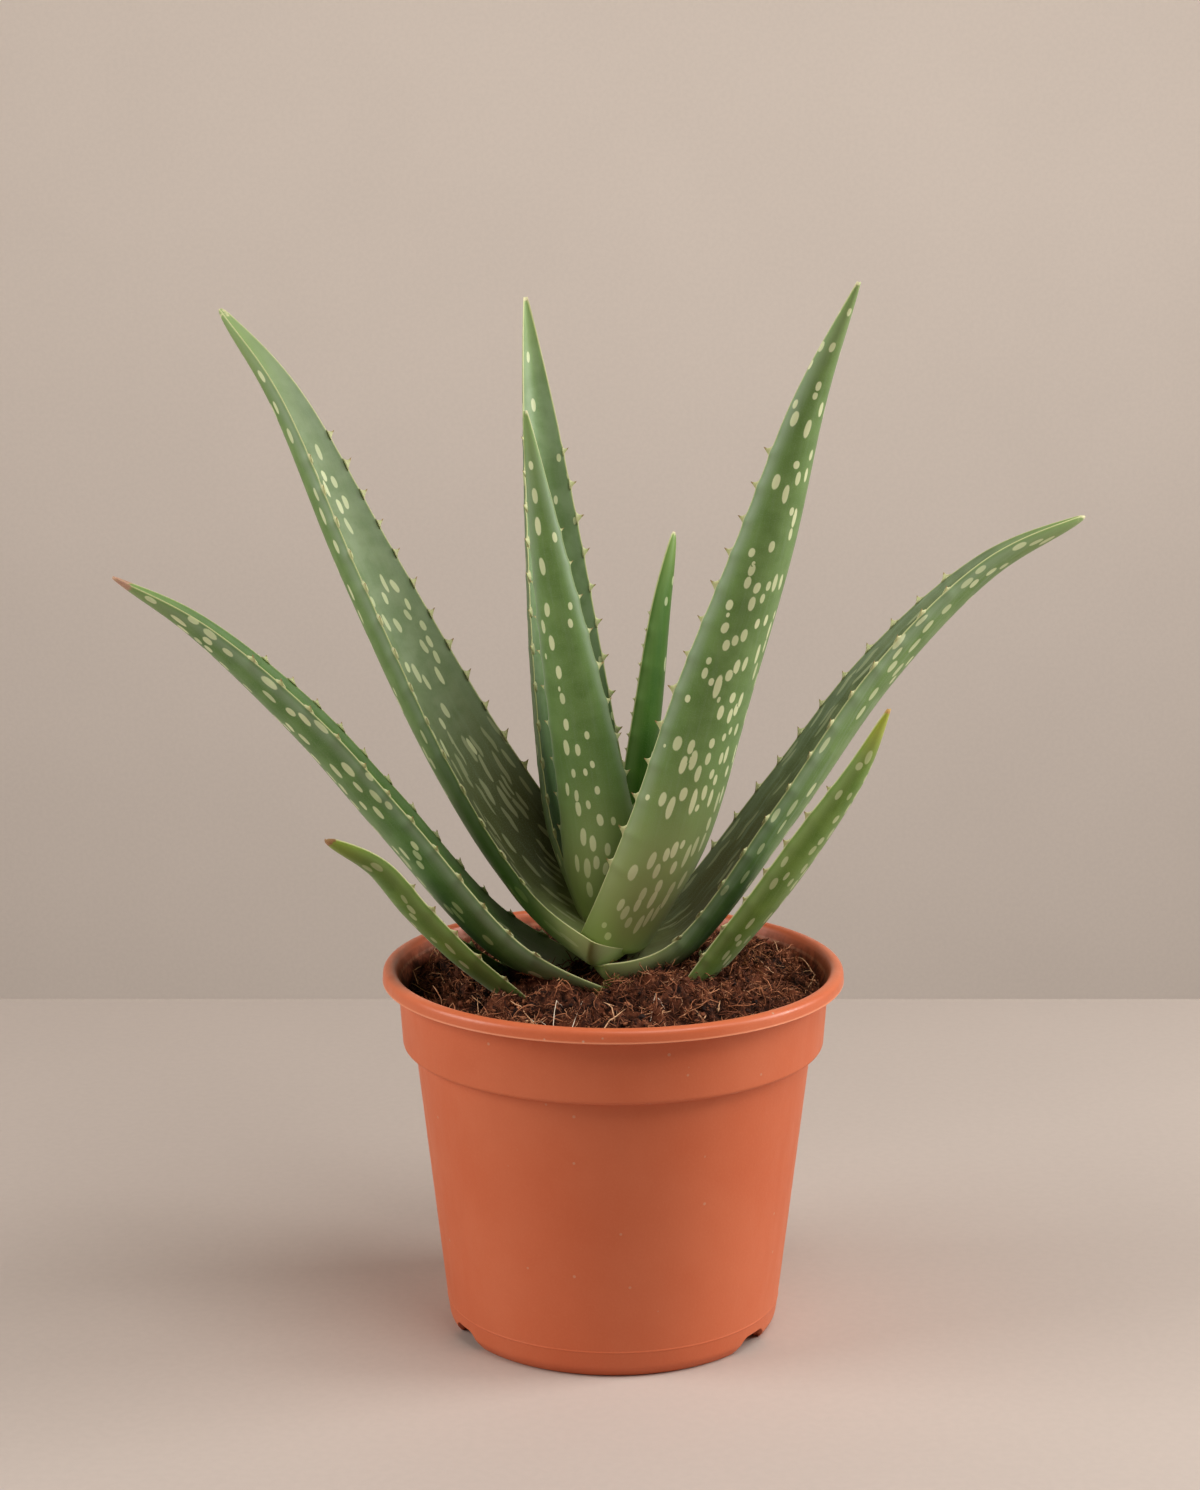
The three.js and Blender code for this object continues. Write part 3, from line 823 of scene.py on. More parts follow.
def makeStrands():
    chance = random.Random(9)
    bm = bmesh.new()
    layer = bm.verts.layers.float.new("tint")
    for kind, thick, tint in (("straws", 0.17, 0.42), ("roots", 0.12, 1.0)):
        for marks in soil[kind]:
            path = strandPath(marks, chance)
            steps = len(path) - 1
            radii = [thick * mm * (1 - 0.6 * abs(2 * k / steps - 1) ** 3) for k in range(steps + 1)]
            rod = rodMesh(path, radii, 5)
            verts = addMesh(bm, rod)
            shade = tint * chance.uniform(0.8, 1.2)
            for vert in verts:
                vert[layer] = shade
            discard([rod])
    material = strandMaterial("looseStrands", [soil[key] for key in ("light", "straw", "pale")], 0.6)
    finishPiece("looseStrands", smoothMesh("looseStrands", bm), material, "soil")


def makeMoss():
    chance = random.Random(3)
    shapes = fibreShapes(chance, 8, 0.35)
    middle = soilPoint(*soil["mossPlace"], 0.0)
    places = []
    for _ in range(soil["mossCount"]):
        x, y = (at + chance.gauss(0, spread) for at, spread in zip(middle.xy, soil["mossSpread"]))
        turn = turned(chance.uniform(0, math.tau), -chance.uniform(25, 90))
        place = Matrix.Translation(atPot(x, y, surfaceHeight(x, y) + 1.3))
        length = chance.uniform(*soil["mossLengths"])
        places.append((place @ turn @ Matrix.Scale(length * mm, 4), chance.random()))
    material = strandMaterial("moss", [soil["mossDark"], soil["moss"]], 0.8)
    finishPiece("mossTuft", scatterShapes("mossTuft", shapes, places), material, "soil")
    discard(shapes)


def makeSoil():
    inside = pot["wall"] + soil["clearance"]
    floorTop = pot["floorRecess"] + pot["floor"] + soil["clearance"]
    bottom = pot["collarBottom"]
    top = collarRadius(soil["wallContact"] - bottom) - inside
    side = [
        (0, floorTop),
        (wallRadius(floorTop) - inside - 2, floorTop),
        (wallRadius(floorTop) - inside, floorTop + 2),
        (wallRadius(bottom) - inside, bottom),
        (collarRadius(1.8) - inside, bottom + 1.8),
        (top, soil["wallContact"]),
    ]
    above = 120.0  # the surface starts flat up here and comes down to the soil's height
    surface = [(top * (1 - i / soil["rings"]), above) for i in range(soil["rings"] + 1)]
    bm = latheSolid([Vector(p) for p in side + surface], soil["steps"])
    hollow = bm.verts.layers.float.new("hollow")
    for vert in bm.verts:
        if vert.co.z > (above - 10) * mm:
            x, y = vert.co.x / mm, vert.co.y / mm
            vert.co.z = surfaceHeight(x, y) * mm
            # how deep each point lies between the crumbs, for the painted shade in the hollows
            vert[hollow] = -crumble(x, y)
    bmesh.ops.translate(bm, verts=bm.verts, vec=(originX, originY, 0))
    finishPiece("pottingMix", smoothMesh("pottingMix", bm), soilMaterial(), "soil", "soil")


makeSoil()
print("soil made")
makeFibres()
makeStrands()
makeMoss()
print("fibres, loose strands and moss made")


# leaves

leafShape = {
    "root": 4.0,
    "rootTaper": 0.98,
    "rootRows": 14,
    "sheathEnd": 0.2,
    "tipRadius": 0.6,
    "channelPower": 1.8,
    "lineSteps": 120,
    "sectionPoints": 240,
    "rowsPerMm": 1.25,
    "channelSteps": 36,
    "backSteps": 76,
    "marginRounding": 0.32,
    "swell": 0.35,  # of the margin at a tooth
}

tooth = {
    "spacing": 10.6,
    "tipSpacing": 8.0,
    "height": 1.55,
    "length": 3.3,
    "thickness": 1.1,
    "hook": 0.8,
    "hookPower": 1.7,
    "sunk": 0.5,
    "first": 0.14,
    "last": 0.8,
    "offset": 0.4,
    "outline": [(0.0, 1.0), (0.18, 0.72), (0.34, 0.48), (0.5, 0.32), (0.7, 0.19), (0.88, 0.09), (1.0, 0.02)],
}

spotShape = {
    "lengths": (0.65, 1.25),  # shares of the length and the breadth that a zone gives
    "breadths": (0.75, 1.2),
    "apart": 1.2,
    "tries": 30,
    "seenBreadth": 0.44,
    "seenReach": 8,  # in the photograph's pixels
}

green = {
    "back": (124, 152, 90),
    "backDark": (98, 128, 62),
    # the channel's own greens, made darker and more saturated than the back's as painted shade
    "channel": (102, 138, 64),
    "channelDark": (74, 110, 34),
    "bloomAndSheen": (146, 162, 134),
    "base": (176, 188, 126),
    "tip": (140, 164, 96),
    "spot": (224, 228, 184),
    "margin": (208, 208, 156),
    "thorn": (150, 104, 62),
    "dry": (206, 198, 150),
    "dryLight": (226, 222, 184),
    "streak": 0.16,
}

leafSkin = {
    "cloudScale": 0.16,  # in the leaf's own mm
    "fineScale": 3.2,
    "streakScale": 1.1,
    "streakStretch": 0.05,
    # the grey band beside the margins, wax bloom with painted sheen: where it starts and where it is full, in mm from
    # the rim, then its share
    "bloomAndSheenReach": (5.4, 1.8),
    "bloomAndSheen": 0.7,
    "fineBloom": 0.38,
    "baseReach": 0.17,  # shares of the leaf's length
    "tipStart": 0.82,
    "dryStart": 0.99,
    "dryWidth": 0.012,
    "marginLine": (0.65, 0.25),
    "roughness": (0.42, 0.56),
    "bump": 0.22,
    "bumpDepth": 0.2,
}

# A spot zone: side, share of the length, place across (-1 and 1 are the margins), count, length and
# breadth in mm, brightness. A seen spot: where the photograph shows it, in its pixels, then length and
# breadth in mm.
leaves = {
    "leaf_inner_young": {
        "spine": [(3, 3, 106), (5, 5, 123), (6.7, 6, 142), (9.3, 8, 164), (12, 10, 187.5), (15.5, 12, 208)],
        "facing": 22, "width": 9.4, "sheath": 0.6, "taper": (1.9, 0.6),
        "cup": (0.6, 0.47), "thick": (0.36, 0.52), "roll": (-24, -24),
        "teeth": 0.5,
        # darker, more saturated greens than the other leaves: painted shade in the rosette's middle, with painted light
        # shining through the leaf
        "look": {"channel": (100, 140, 62), "channelDark": (52, 100, 8), "back": (84, 124, 40),
                 "backDark": (60, 104, 20), "bloomAndSheen": (122, 150, 88), "tip": (130, 158, 78)},
        "seen": ("channel", [(669, 585, 4.4, 1.7), (657, 669, 5.0, 1.4), (652, 717, 5.4, 1.6), (671, 617, 2.2, 1.0),
                             (667, 675, 2.4, 0.9)]),
        "spots": [("back", 0.1, 0.9, -0.8, 0.8, 36, 3.6, 1.4, 0.8)],
    },
    "leaf_front_spotted": {
        "spine": [(-2, -2, 107), (-4, -4, 119), (-5, -6, 136), (-10, -7, 167), (-16, -8, 202), (-22, -10, 241)],
        "facing": 262, "width": 11, "sheath": 0.55, "taper": (1.3, 0.9),
        "cup": (0.55, 0.25), "thick": (0.35, 0.45), "roll": (-4, 2),
        "baseReach": 0.36,
        "seen": ("back", [
            (531, 467, 2.3, 1.4), (535, 495, 4.0, 1.7), (538, 526, 4.8, 1.8), (542, 567, 4.6, 1.8),
            (547, 611, 3.7, 1.8), (543, 627, 3.6, 1.5), (552, 643, 4.0, 1.8), (558, 671, 3.5, 1.8),
            (562, 699, 3.0, 1.7), (566, 725, 3.2, 1.7), (587, 735, 2.2, 1.5), (566, 748, 4.2, 1.9),
            (578, 749, 3.2, 1.6), (593, 764, 2.0, 1.4), (573, 773, 2.4, 1.4), (586, 773, 2.0, 1.3),
            (598, 789, 2.3, 1.6), (567, 790, 3.6, 1.4), (576, 796, 3.2, 1.4), (589, 805, 2.4, 1.4),
            (578, 809, 4.2, 1.8), (601, 819, 3.2, 2.0), (613, 822, 2.2, 1.5), (555, 537, 2.7, 1.5),
            (570, 607, 2.1, 1.4), (571, 624, 2.4, 1.5), (608, 848, 3.4, 1.8), (594, 845, 4.4, 2.0),
            (583, 838, 5.0, 2.0), (587, 868, 5.6, 2.2), (597, 864, 3.8, 1.9), (577, 862, 5.0, 1.6),
            (590, 890, 4.4, 2.0), (605, 870, 3.6, 1.8), (560, 690, 1.4, 0.8), (546, 656, 1.6, 0.9),
        ]),
        "spots": [("channel", 0.1, 0.9, -0.7, 0.7, 14, 4.0, 1.2, 0.7)],
    },
    "leaf_back_tall": {
        "spine": [(-4, 7, 106), (-10, 17, 134), (-14, 22, 168), (-17, 28, 203), (-20, 34, 236), (-23, 41, 266)],
        "facing": 105, "width": 13, "sheath": 0.55, "taper": (1.6, 0.9),
        "cup": (0.8, 0.35), "thick": (0.3, 0.5), "roll": (15, 8),
        "look": {"channel": (150, 172, 128), "channelDark": (110, 138, 80), "low": (88, 118, 62)},
        "seen": ("channel", [
            (533, 405, 3.6, 1.6), (558, 457, 2.2, 1.4), (528, 357, 3.0, 1.2), (531, 430, 2.0, 1.2),
            (568, 475, 2.0, 1.0), (555, 500, 2.4, 1.2), (575, 520, 2.0, 1.0), (529, 610, 4.6, 1.0),
            (532, 640, 4.0, 1.0), (600, 660, 2.0, 1.2), (612, 716, 2.4, 1.2), (606, 700, 2.0, 1.0),
        ]),
        "spots": [("back", 0.05, 0.9, -0.9, 0.9, 110, 3.8, 1.6, 0.85)],
    },
    "leaf_right_tall": {
        "spine": [(5, -4, 105), (17.5, -12, 133), (28, -18.5, 172), (38.5, -25.5, 209), (47.5, -32, 245),
                  (57.5, -40, 274)],
        "facing": 321.5, "width": 16, "sheath": 0.85, "taper": (1.53, 0.94),
        "cup": (0.62, 0.4), "thick": (0.32, 0.51), "roll": (8, -19.5),
        "baseReach": 0.36,
        "seen": ("back", [
            (837, 312, 1.6, 1.0), (849, 314, 2.1, 1.3), (833, 346, 2.6, 1.6), (821, 347, 2.8, 1.4),
            (842, 354, 3.6, 1.2), (811, 364, 2.6, 1.0), (819, 385, 2.5, 1.6), (815, 396, 2.0, 1.5),
            (796, 403, 2.4, 1.3), (794, 419, 4.0, 2.0), (807, 429, 4.8, 1.9), (821, 411, 3.9, 1.7),
            (827, 411, 3.4, 1.2), (811, 454, 2.8, 1.6), (796, 465, 2.1, 1.9), (798, 480, 3.6, 1.7),
            (777, 481, 4.0, 2.1), (806, 476, 3.7, 1.4), (786, 496, 4.8, 1.8), (791, 512, 2.2, 1.6),
            (795, 517, 5.0, 1.6), (791, 534, 3.2, 1.5), (771, 546, 3.0, 1.8), (752, 552, 2.4, 1.8),
            (754, 563, 1.3, 1.0), (752, 571, 3.2, 1.9), (747, 584, 3.2, 1.9), (758, 587, 3.0, 2.0),
            (768, 585, 2.6, 1.6), (775, 583, 4.8, 1.7), (781, 581, 4.2, 1.6), (762, 597, 2.6, 1.5),
            (730, 605, 2.8, 2.0), (728, 614, 1.3, 1.0), (751, 605, 3.8, 2.0), (725, 628, 3.0, 2.1),
            (757, 623, 2.8, 1.6), (766, 619, 3.1, 1.5), (774, 614, 2.3, 1.2), (769, 631, 5.0, 1.4),
            (726, 644, 3.0, 2.0), (735, 641, 2.9, 1.9), (745, 637, 3.5, 2.0), (765, 646, 3.6, 1.4),
            (757, 653, 5.4, 1.5), (708, 662, 2.0, 1.5), (704, 673, 3.0, 1.7), (736, 666, 4.0, 1.9),
            (746, 663, 4.0, 1.6), (730, 676, 3.2, 2.2), (710, 683, 2.1, 1.6), (717, 685, 6.4, 2.1),
            (755, 672, 4.8, 1.4), (756, 681, 4.2, 1.3), (688, 698, 2.1, 1.6), (720, 699, 1.7, 1.0),
            (733, 699, 3.0, 2.0), (741, 701, 4.4, 1.5), (721, 712, 4.0, 2.0), (729, 717, 4.2, 1.6),
            (736, 708, 3.6, 1.8), (746, 716, 4.4, 1.6), (736, 729, 3.4, 1.6), (731, 732, 2.2, 1.2),
            (724, 736, 2.2, 1.4), (713, 743, 2.8, 1.8), (678, 744, 4.0, 2.5), (664, 747, 1.0, 0.8),
            (690, 748, 4.0, 1.9), (682, 765, 5.0, 2.0), (694, 760, 5.4, 2.2), (699, 773, 4.6, 1.8),
            (709, 758, 3.4, 1.7), (721, 759, 3.4, 1.5), (727, 755, 4.8, 1.5), (734, 753, 5.4, 1.5),
            (739, 745, 5.8, 1.4), (711, 774, 2.8, 1.6), (715, 780, 3.0, 1.5), (727, 771, 3.2, 1.6),
            (733, 764, 4.4, 1.4), (648, 796, 1.6, 1.3), (663, 801, 4.0, 2.0), (670, 809, 6.4, 2.0),
            (684, 796, 3.8, 2.2), (692, 803, 7.2, 1.8), (704, 794, 4.2, 1.8), (697, 807, 2.0, 1.3),
            (711, 799, 5.0, 1.5), (717, 801, 5.8, 1.5), (722, 795, 5.0, 1.4), (708, 824, 4.0, 1.9),
            (634, 872, 5.0, 2.5), (651, 861, 5.4, 2.0), (666, 854, 4.0, 1.8), (657, 871, 4.6, 1.8),
            (674, 850, 4.8, 2.0), (673, 867, 4.0, 1.8), (682, 843, 2.6, 1.4), (686, 856, 6.8, 1.7),
            (694, 847, 5.8, 1.8), (702, 842, 5.8, 1.5), (659, 887, 4.2, 2.0), (671, 889, 5.0, 2.0),
            (681, 880, 5.8, 1.9), (643, 895, 4.6, 1.8), (621, 905, 4.0, 1.8), (626, 912, 4.6, 2.0),
            (637, 904, 4.6, 1.7), (653, 900, 6.0, 1.8), (665, 901, 6.4, 1.8), (640, 924, 6.4, 1.8),
            (649, 918, 6.4, 1.6), (656, 914, 6.0, 1.6), (629, 923, 3.6, 1.8), (604, 925, 1.8, 1.5),
            (607, 936, 2.4, 2.0),
        ]),
        "spots": [("channel", 0.1, 0.9, -0.8, 0.8, 40, 4.5, 1.3, 0.7)],
    },
    "leaf_left_tall": {
        "spine": [(1.2, -4.6, 104.2), (-20.5, 6, 117.5), (-42, 11, 149.5), (-65.5, 18, 196.5), (-85, 26, 239),
                  (-102, 31, 263.5)],
        "facing": 158.5, "width": 13.7, "sheath": 1.44, "taper": (1.55, 0.6),
        "cup": (0.78, 0.54), "thick": (0.25, 0.55), "roll": (-23, 3),
        "look": {"channel": (148, 162, 126), "channelDark": (118, 138, 94), "low": (88, 90, 44)},
        "spots": [
            ("channel", 0.08, 0.36, -0.95, 0.35, 46, 9.0, 1.0, 0.4),
            ("channel", 0.34, 0.6, -0.75, 0.3, 24, 4.6, 1.3, 0.85),
            ("channel", 0.6, 0.8, -0.5, 0.2, 10, 4.2, 1.2, 0.9),
            ("channel", 0.8, 0.97, 0.4, 0.9, 4, 5.0, 1.2, 0.8),
            ("back", 0.0, 0.16, 0.0, 0.9, 8, 6.5, 2.2, 0.5),
            ("back", 0.16, 0.92, 0.3, 0.8, 20, 4.0, 1.3, 0.9),
            ("back", 0.1, 0.9, -0.9, 0.3, 60, 3.8, 1.5, 0.8),
        ],
    },
    "leaf_right_long": {
        "spine": [(-3.5, 0, 97.5), (19, 3.5, 104), (44.5, 6, 137), (69, 12, 170.5), (96, 17, 197), (122, 19, 211)],
        "facing": 0, "width": 12.8, "sheath": 1.52, "taper": (1.8, 0.56),
        "cup": (0.44, 0.55), "thick": (0.3, 0.44), "roll": (12.5, -5),
        "look": {"channel": (122, 134, 92), "channelDark": (86, 100, 58), "low": (108, 106, 70), "streak": 0.5},
        "spots": [
            ("channel", 0.12, 0.75, -0.5, 0.95, 60, 9.0, 0.8, 0.35),
            ("back", 0.12, 0.95, -0.95, 0.1, 56, 4.2, 1.3, 0.75),
            ("back", 0.1, 0.95, 0.1, 0.95, 60, 3.8, 1.3, 0.8),
        ],
    },
    "leaf_left_long": {
        "spine": [(-1, -9.2, 92), (-29, -11, 106.5), (-56.5, -14, 139), (-77, -18, 164), (-102, -20, 187.5),
                  (-123, -24, 201.5)],
        "facing": 192, "width": 15.6, "sheath": 0.7, "taper": (2.15, 0.83),
        "cup": (0.25, 0.49), "thick": (0.26, 0.5), "roll": (-3, -3),
        "look": {"back": (112, 144, 82), "backDark": (84, 118, 54), "dry": (150, 104, 82), "dryLight": (218, 182, 158)},
        "dryStart": 0.965,
        "spots": [
            ("back", 0.12, 0.45, -0.1, 0.7, 16, 4.4, 1.9, 0.8),
            ("back", 0.4, 0.94, 0.0, 0.95, 46, 4.0, 1.6, 0.9),
            ("back", 0.1, 0.94, -0.95, 0.0, 52, 3.8, 1.5, 0.85),
            ("channel", 0.2, 0.95, -0.8, 0.8, 22, 5.0, 1.3, 0.7),
        ],
    },
    "leaf_right_short": {
        "spine": [(13.5, -6, 84.5), (27, -7, 101), (40, -11, 118), (51, -16, 135), (61, -21, 152), (68, -26, 169)],
        "facing": 338, "width": 10.7, "sheath": 0.9, "taper": (1.85, 0.9),
        "cup": (0.26, 0.42), "thick": (0.33, 0.53), "roll": (14.5, -26),
        "look": {"back": (120, 150, 64), "backDark": (92, 126, 40), "bloomAndSheen": (148, 168, 108), "tip": (188, 190, 62),
                  "dry": (176, 130, 74), "dryLight": (206, 172, 110)},
        "dryStart": 0.985,
        "spots": [
            ("back", 0.15, 0.9, -0.8, 0.3, 40, 3.4, 1.5, 0.6),
            ("channel", 0.2, 0.9, -0.7, 0.7, 10, 3.6, 1.2, 0.6),
        ],
    },
    "leaf_left_short": {
        "spine": [(-15, -12, 83), (-27, -16, 94), (-39, -21, 105), (-50, -27, 118), (-59, -34, 131), (-70, -43, 140)],
        "facing": 205, "width": 8, "sheath": 0.9, "taper": (1.6, 0.45),
        "cup": (0.45, 0.35), "thick": (0.3, 0.5), "roll": (-21, 19),
        "look": {"back": (112, 144, 58), "backDark": (82, 116, 32), "bloomAndSheen": (138, 160, 96), "tip": (150, 168, 60),
                  "dry": (110, 74, 52), "dryLight": (190, 150, 100)},
        "dryStart": 0.975,
        "spots": [
            ("back", 0.15, 0.9, -0.5, 0.8, 26, 3.6, 1.4, 0.5),
            ("channel", 0.2, 0.9, -0.7, 0.7, 8, 3.6, 1.2, 0.5),
        ],
    },
}


class LeafFrame:
    # the leaf's centre line and section sizes, the same as its solid's
    def __init__(self, values):
        self.values = values
        points = [np.array(p, float) for p in values["spine"]]
        back = points[0] - points[1]
        points.insert(0, points[0] + back / np.linalg.norm(back) * leafShape["root"])
        ends = [2 * points[0] - points[1], *points, 2 * points[-1] - points[-2]]
        dense = []
        for i in range(len(points) - 1):
            a, b, c, d = ends[i:i + 4]
            for t in np.linspace(0, 1, leafShape["lineSteps"], endpoint=i == len(points) - 2):
                first, second = (c - a) / 2, (d - b) / 2
                dense.append(b + first * t + (3 * (c - b) - 2 * first - second) * t ** 2
                             + (2 * (b - c) + first + second) * t ** 3)
        self.line = np.array(dense)
        gaps = np.linalg.norm(np.diff(self.line, axis=0), axis=1)
        self.lengths = np.concatenate([[0], np.cumsum(gaps)])
        self.length = self.lengths[-1]
        slopes = np.gradient(self.line, self.lengths, axis=0)
        self.slopes = slopes / np.linalg.norm(slopes, axis=1)[:, None]
        self.rootShare = leafShape["root"] / self.length

    def along(self, table, v):
        return np.stack([np.interp(v * self.length, self.lengths, table[:, k]) for k in range(3)], axis=-1)

    def between(self, key, share):
        # from the value at the base to the value at the tip
        base, tip = self.values[key]
        return base + (tip - base) * share

    def station(self, v):
        values = self.values
        v = np.atleast_1d(np.asarray(v, float))
        share = np.clip((v - self.rootShare) / (1 - self.rootShare), 0, 1)
        forward = self.along(self.slopes, v)
        forward /= np.linalg.norm(forward, axis=1)[:, None]
        facing = math.radians(values["facing"])
        outward = np.array([math.cos(facing), math.sin(facing), 0])
        flat = np.array([-math.sin(facing), math.cos(facing), 0])
        across = flat - forward * (forward @ flat)[:, None]
        across /= np.linalg.norm(across, axis=1)[:, None]
        inward = np.cross(forward, across)
        inward *= np.where(inward @ outward - inward[:, 2] > 0, -1.0, 1.0)[:, None]
        roll = np.radians(self.between("roll", share))[:, None]
        power, fullness = values["taper"]
        opening = np.clip(v / leafShape["sheathEnd"], 0, 1)
        opening = opening * opening * (3 - 2 * opening)
        blade = values["width"] * (1 - share ** power) ** fullness
        half = blade * (values["sheath"] + (1 - values["sheath"]) * opening) + leafShape["tipRadius"] * share
        half *= np.sqrt(1 - leafShape["rootTaper"] * np.clip(1 - v / self.rootShare, 0, 1) ** 2)
        return {
            "share": share, "centre": self.along(self.line, v), "forward": forward,
            "side": across * np.cos(roll) + inward * np.sin(roll),
            "up": inward * np.cos(roll) - across * np.sin(roll),
            "half": half, "cup": half * self.between("cup", share), "thick": half * self.between("thick", share),
        }


def sectionCurve(at):
    # one row for each station: a channel from -1 to 1, then the back from 1 to -1
    count = leafShape["sectionPoints"]
    third = count // 3
    x = np.linspace(-1, 1, third, endpoint=False)
    turn = np.linspace(0, math.pi, count - third, endpoint=False)
    half, cup, thick = (at[k][:, None] for k in ("half", "cup", "thick"))
    inner = np.stack([half * x, cup * np.abs(x) ** leafShape["channelPower"]], axis=-1)
    outer = np.stack([half * np.cos(turn), cup - np.sin(turn) * (cup + thick)], axis=-1)
    return np.concatenate([inner, outer], axis=1), third


def sectionSteps():
    # denser towards the margins, where the form turns
    channel = np.linspace(-1, 1, leafShape["channelSteps"], endpoint=False)
    channel = np.sin(channel * math.pi / 2 * 0.9) / math.sin(math.pi / 2 * 0.9)
    back = np.linspace(0, 1, leafShape["backSteps"], endpoint=False)
    back = back - 0.6 * np.sin(2 * math.pi * back) / (2 * math.pi)
    return (channel + 1) / 2, back


def toothPlaces(form):
    places = []
    for edge in (-1, 1):
        share = tooth["first"] + (tooth["offset"] * tooth["spacing"] / form.length if edge > 0 else 0)
        while share < tooth["last"]:
            places.append((edge, share))
            spacing = tooth["spacing"] + (tooth["tipSpacing"] - tooth["spacing"]) * share
            share += spacing / form.length
    return places


def scatterSpots(zones, length, shares, halfWidths, chance):
    # spots as side, place along, place across, half length, half breadth, lean and brightness
    spots = []
    for side, low, high, left, right, count, long, broad, bright in zones:
        kept = []
        for _ in range(count * spotShape["tries"]):
            if len(kept) == count:
                break
            share, place = chance.uniform(low, high), chance.uniform(left, right)
            wide = float(np.interp(share, shares, halfWidths[side]))
            spot = (share * length, place * wide, long * chance.uniform(*spotShape["lengths"]) / 2,
                    broad * chance.uniform(*spotShape["breadths"]) / 2)
            if all(((spot[0] - k[0]) / (k[2] + spot[2])) ** 2 + ((spot[1] - k[1]) / (k[3] + spot[3])) ** 2
                   > spotShape["apart"] for k in kept):
                kept.append(spot)
                spots.append((side, spot[0], place, spot[2], spot[3], chance.uniform(-0.06, 0.06),
                              bright * chance.uniform(0.75, 1.05)))
    return spots


def seenSpots(side, marks, points, isBack, alongRows, places, chance):
    # the point of the leaf that the camera sees at each marked place of the photograph
    gap = points - np.array(studio["cameraPlace"])
    ahead = gap[..., 1] * math.cos(cameraPitch) - gap[..., 2] * math.sin(cameraPitch)
    rise = gap[..., 1] * math.sin(cameraPitch) + gap[..., 2] * math.cos(cameraPitch)
    pixelX = studio["photoWidth"] / 2 + focal * gap[..., 0] / ahead
    pixelY = studio["photoHeight"] / 2 - focal * rise / ahead
    normal = np.cross(np.roll(points, -1, axis=1) - np.roll(points, 1, axis=1), np.gradient(points, axis=0))
    outward = points - points.mean(axis=1, keepdims=True)
    normal *= np.sign((normal * outward).sum(axis=-1).mean())
    hidden = ((normal * gap).sum(axis=-1) > 0) | (isBack[None, :] != (side == "back"))
    spots = []
    for x, y, long, broad in marks:
        distance = np.hypot(pixelX - x, pixelY - y) + 1000 * hidden
        row, column = np.unravel_index(distance.argmin(), distance.shape)
        if distance[row, column] < spotShape["seenReach"]:
            spots.append((side, alongRows[row], places[column], long / 2, broad * spotShape["seenBreadth"],
                          chance.uniform(-0.04, 0.04), chance.uniform(0.8, 1.0)))
    return spots


def spotMarks(spots, sides, along, place, wide):
    # for each corner of each face: its place within the nearest spot, where 1 is the rim, and the brightness
    marks = np.zeros((*along.shape, 3))
    for side in ("channel", "back"):
        chosen = np.flatnonzero(sides == side)
        best = np.full(len(chosen), np.inf)
        for _, spotAlong, spotPlace, long, broad, lean, bright in (s for s in spots if s[0] == side):
            down = along[chosen] - spotAlong
            over = (place[chosen] - spotPlace) * wide[chosen] - lean * down
            reach = (down.mean(axis=1) / long) ** 2 + (over.mean(axis=1) / broad) ** 2
            nearer = reach < best
            best[nearer] = reach[nearer]
            rows = chosen[nearer]
            marks[rows, :, 0] = over[nearer] / broad
            marks[rows, :, 1] = down[nearer] / long
            marks[rows, :, 2] = bright
    return marks


def makeToothShape():
    bm = bmesh.new()
    thorn = bm.verts.layers.float.new("thorn")
    bmesh.ops.create_circle(bm, segments=10, radius=1.0)
    edges, hook = list(bm.edges), tooth["hookPower"]
    for (low, wide), (high, narrow) in zip(tooth["outline"], tooth["outline"][1:]):
        verts, edges = extruded(bm, edges)
        centre = Vector((low ** hook, 0, low))
        bmesh.ops.scale(bm, verts=verts, vec=(narrow / wide, narrow / wide, 1), space=Matrix.Translation(-centre))
        bmesh.ops.translate(bm, verts=verts, vec=(high ** hook - low ** hook, 0, high - low))
        for vert in verts:
            vert[thorn] = high
    closeHoles(bm)
    return plainMesh("toothShape", bm)


toothShape = makeToothShape()


def makeTeeth(form, chance, names):
    bm = bmesh.new()
    layers = {name: bm.verts.layers.float.new(name) for name in names}
    for edge, share in toothPlaces(form):
        at = form.station([share])
        side, up, forward = (Vector(at[k][0]) for k in ("side", "up", "forward"))
        half, cup = at["half"][0], at["cup"][0]
        size = min(max(half / 7, 0.45), 1.0) * chance.uniform(0.85, 1.15) * form.values.get("teeth", 1.0)
        slope = math.atan2(1.6 * cup, half)
        outward = (side * edge * math.cos(slope) + up * math.sin(slope)).normalized()
        flat = forward.cross(outward).normalized()
        place = Vector(at["centre"][0]) + side * edge * half + up * cup - outward * tooth["sunk"]
        hook = tooth["hook"] * size * chance.uniform(0.8, 1.4)
        columns = Matrix((
            forward * tooth["length"] * size / 2,
            flat * tooth["thickness"] * size / 2,
            outward * (tooth["height"] * size + tooth["sunk"]),
        )).transposed()
        for vert in addMesh(bm, toothShape):
            bend = vert.co.z ** tooth["hookPower"]
            shape = Vector((vert.co.x - bend, vert.co.y, vert.co.z))
            vert.co = atPot(*(place + columns @ shape + forward * hook * bend))
            vert[layers["along"]] = share * form.length
            vert[layers["share"]] = share
    return plainMesh("teeth", bm)


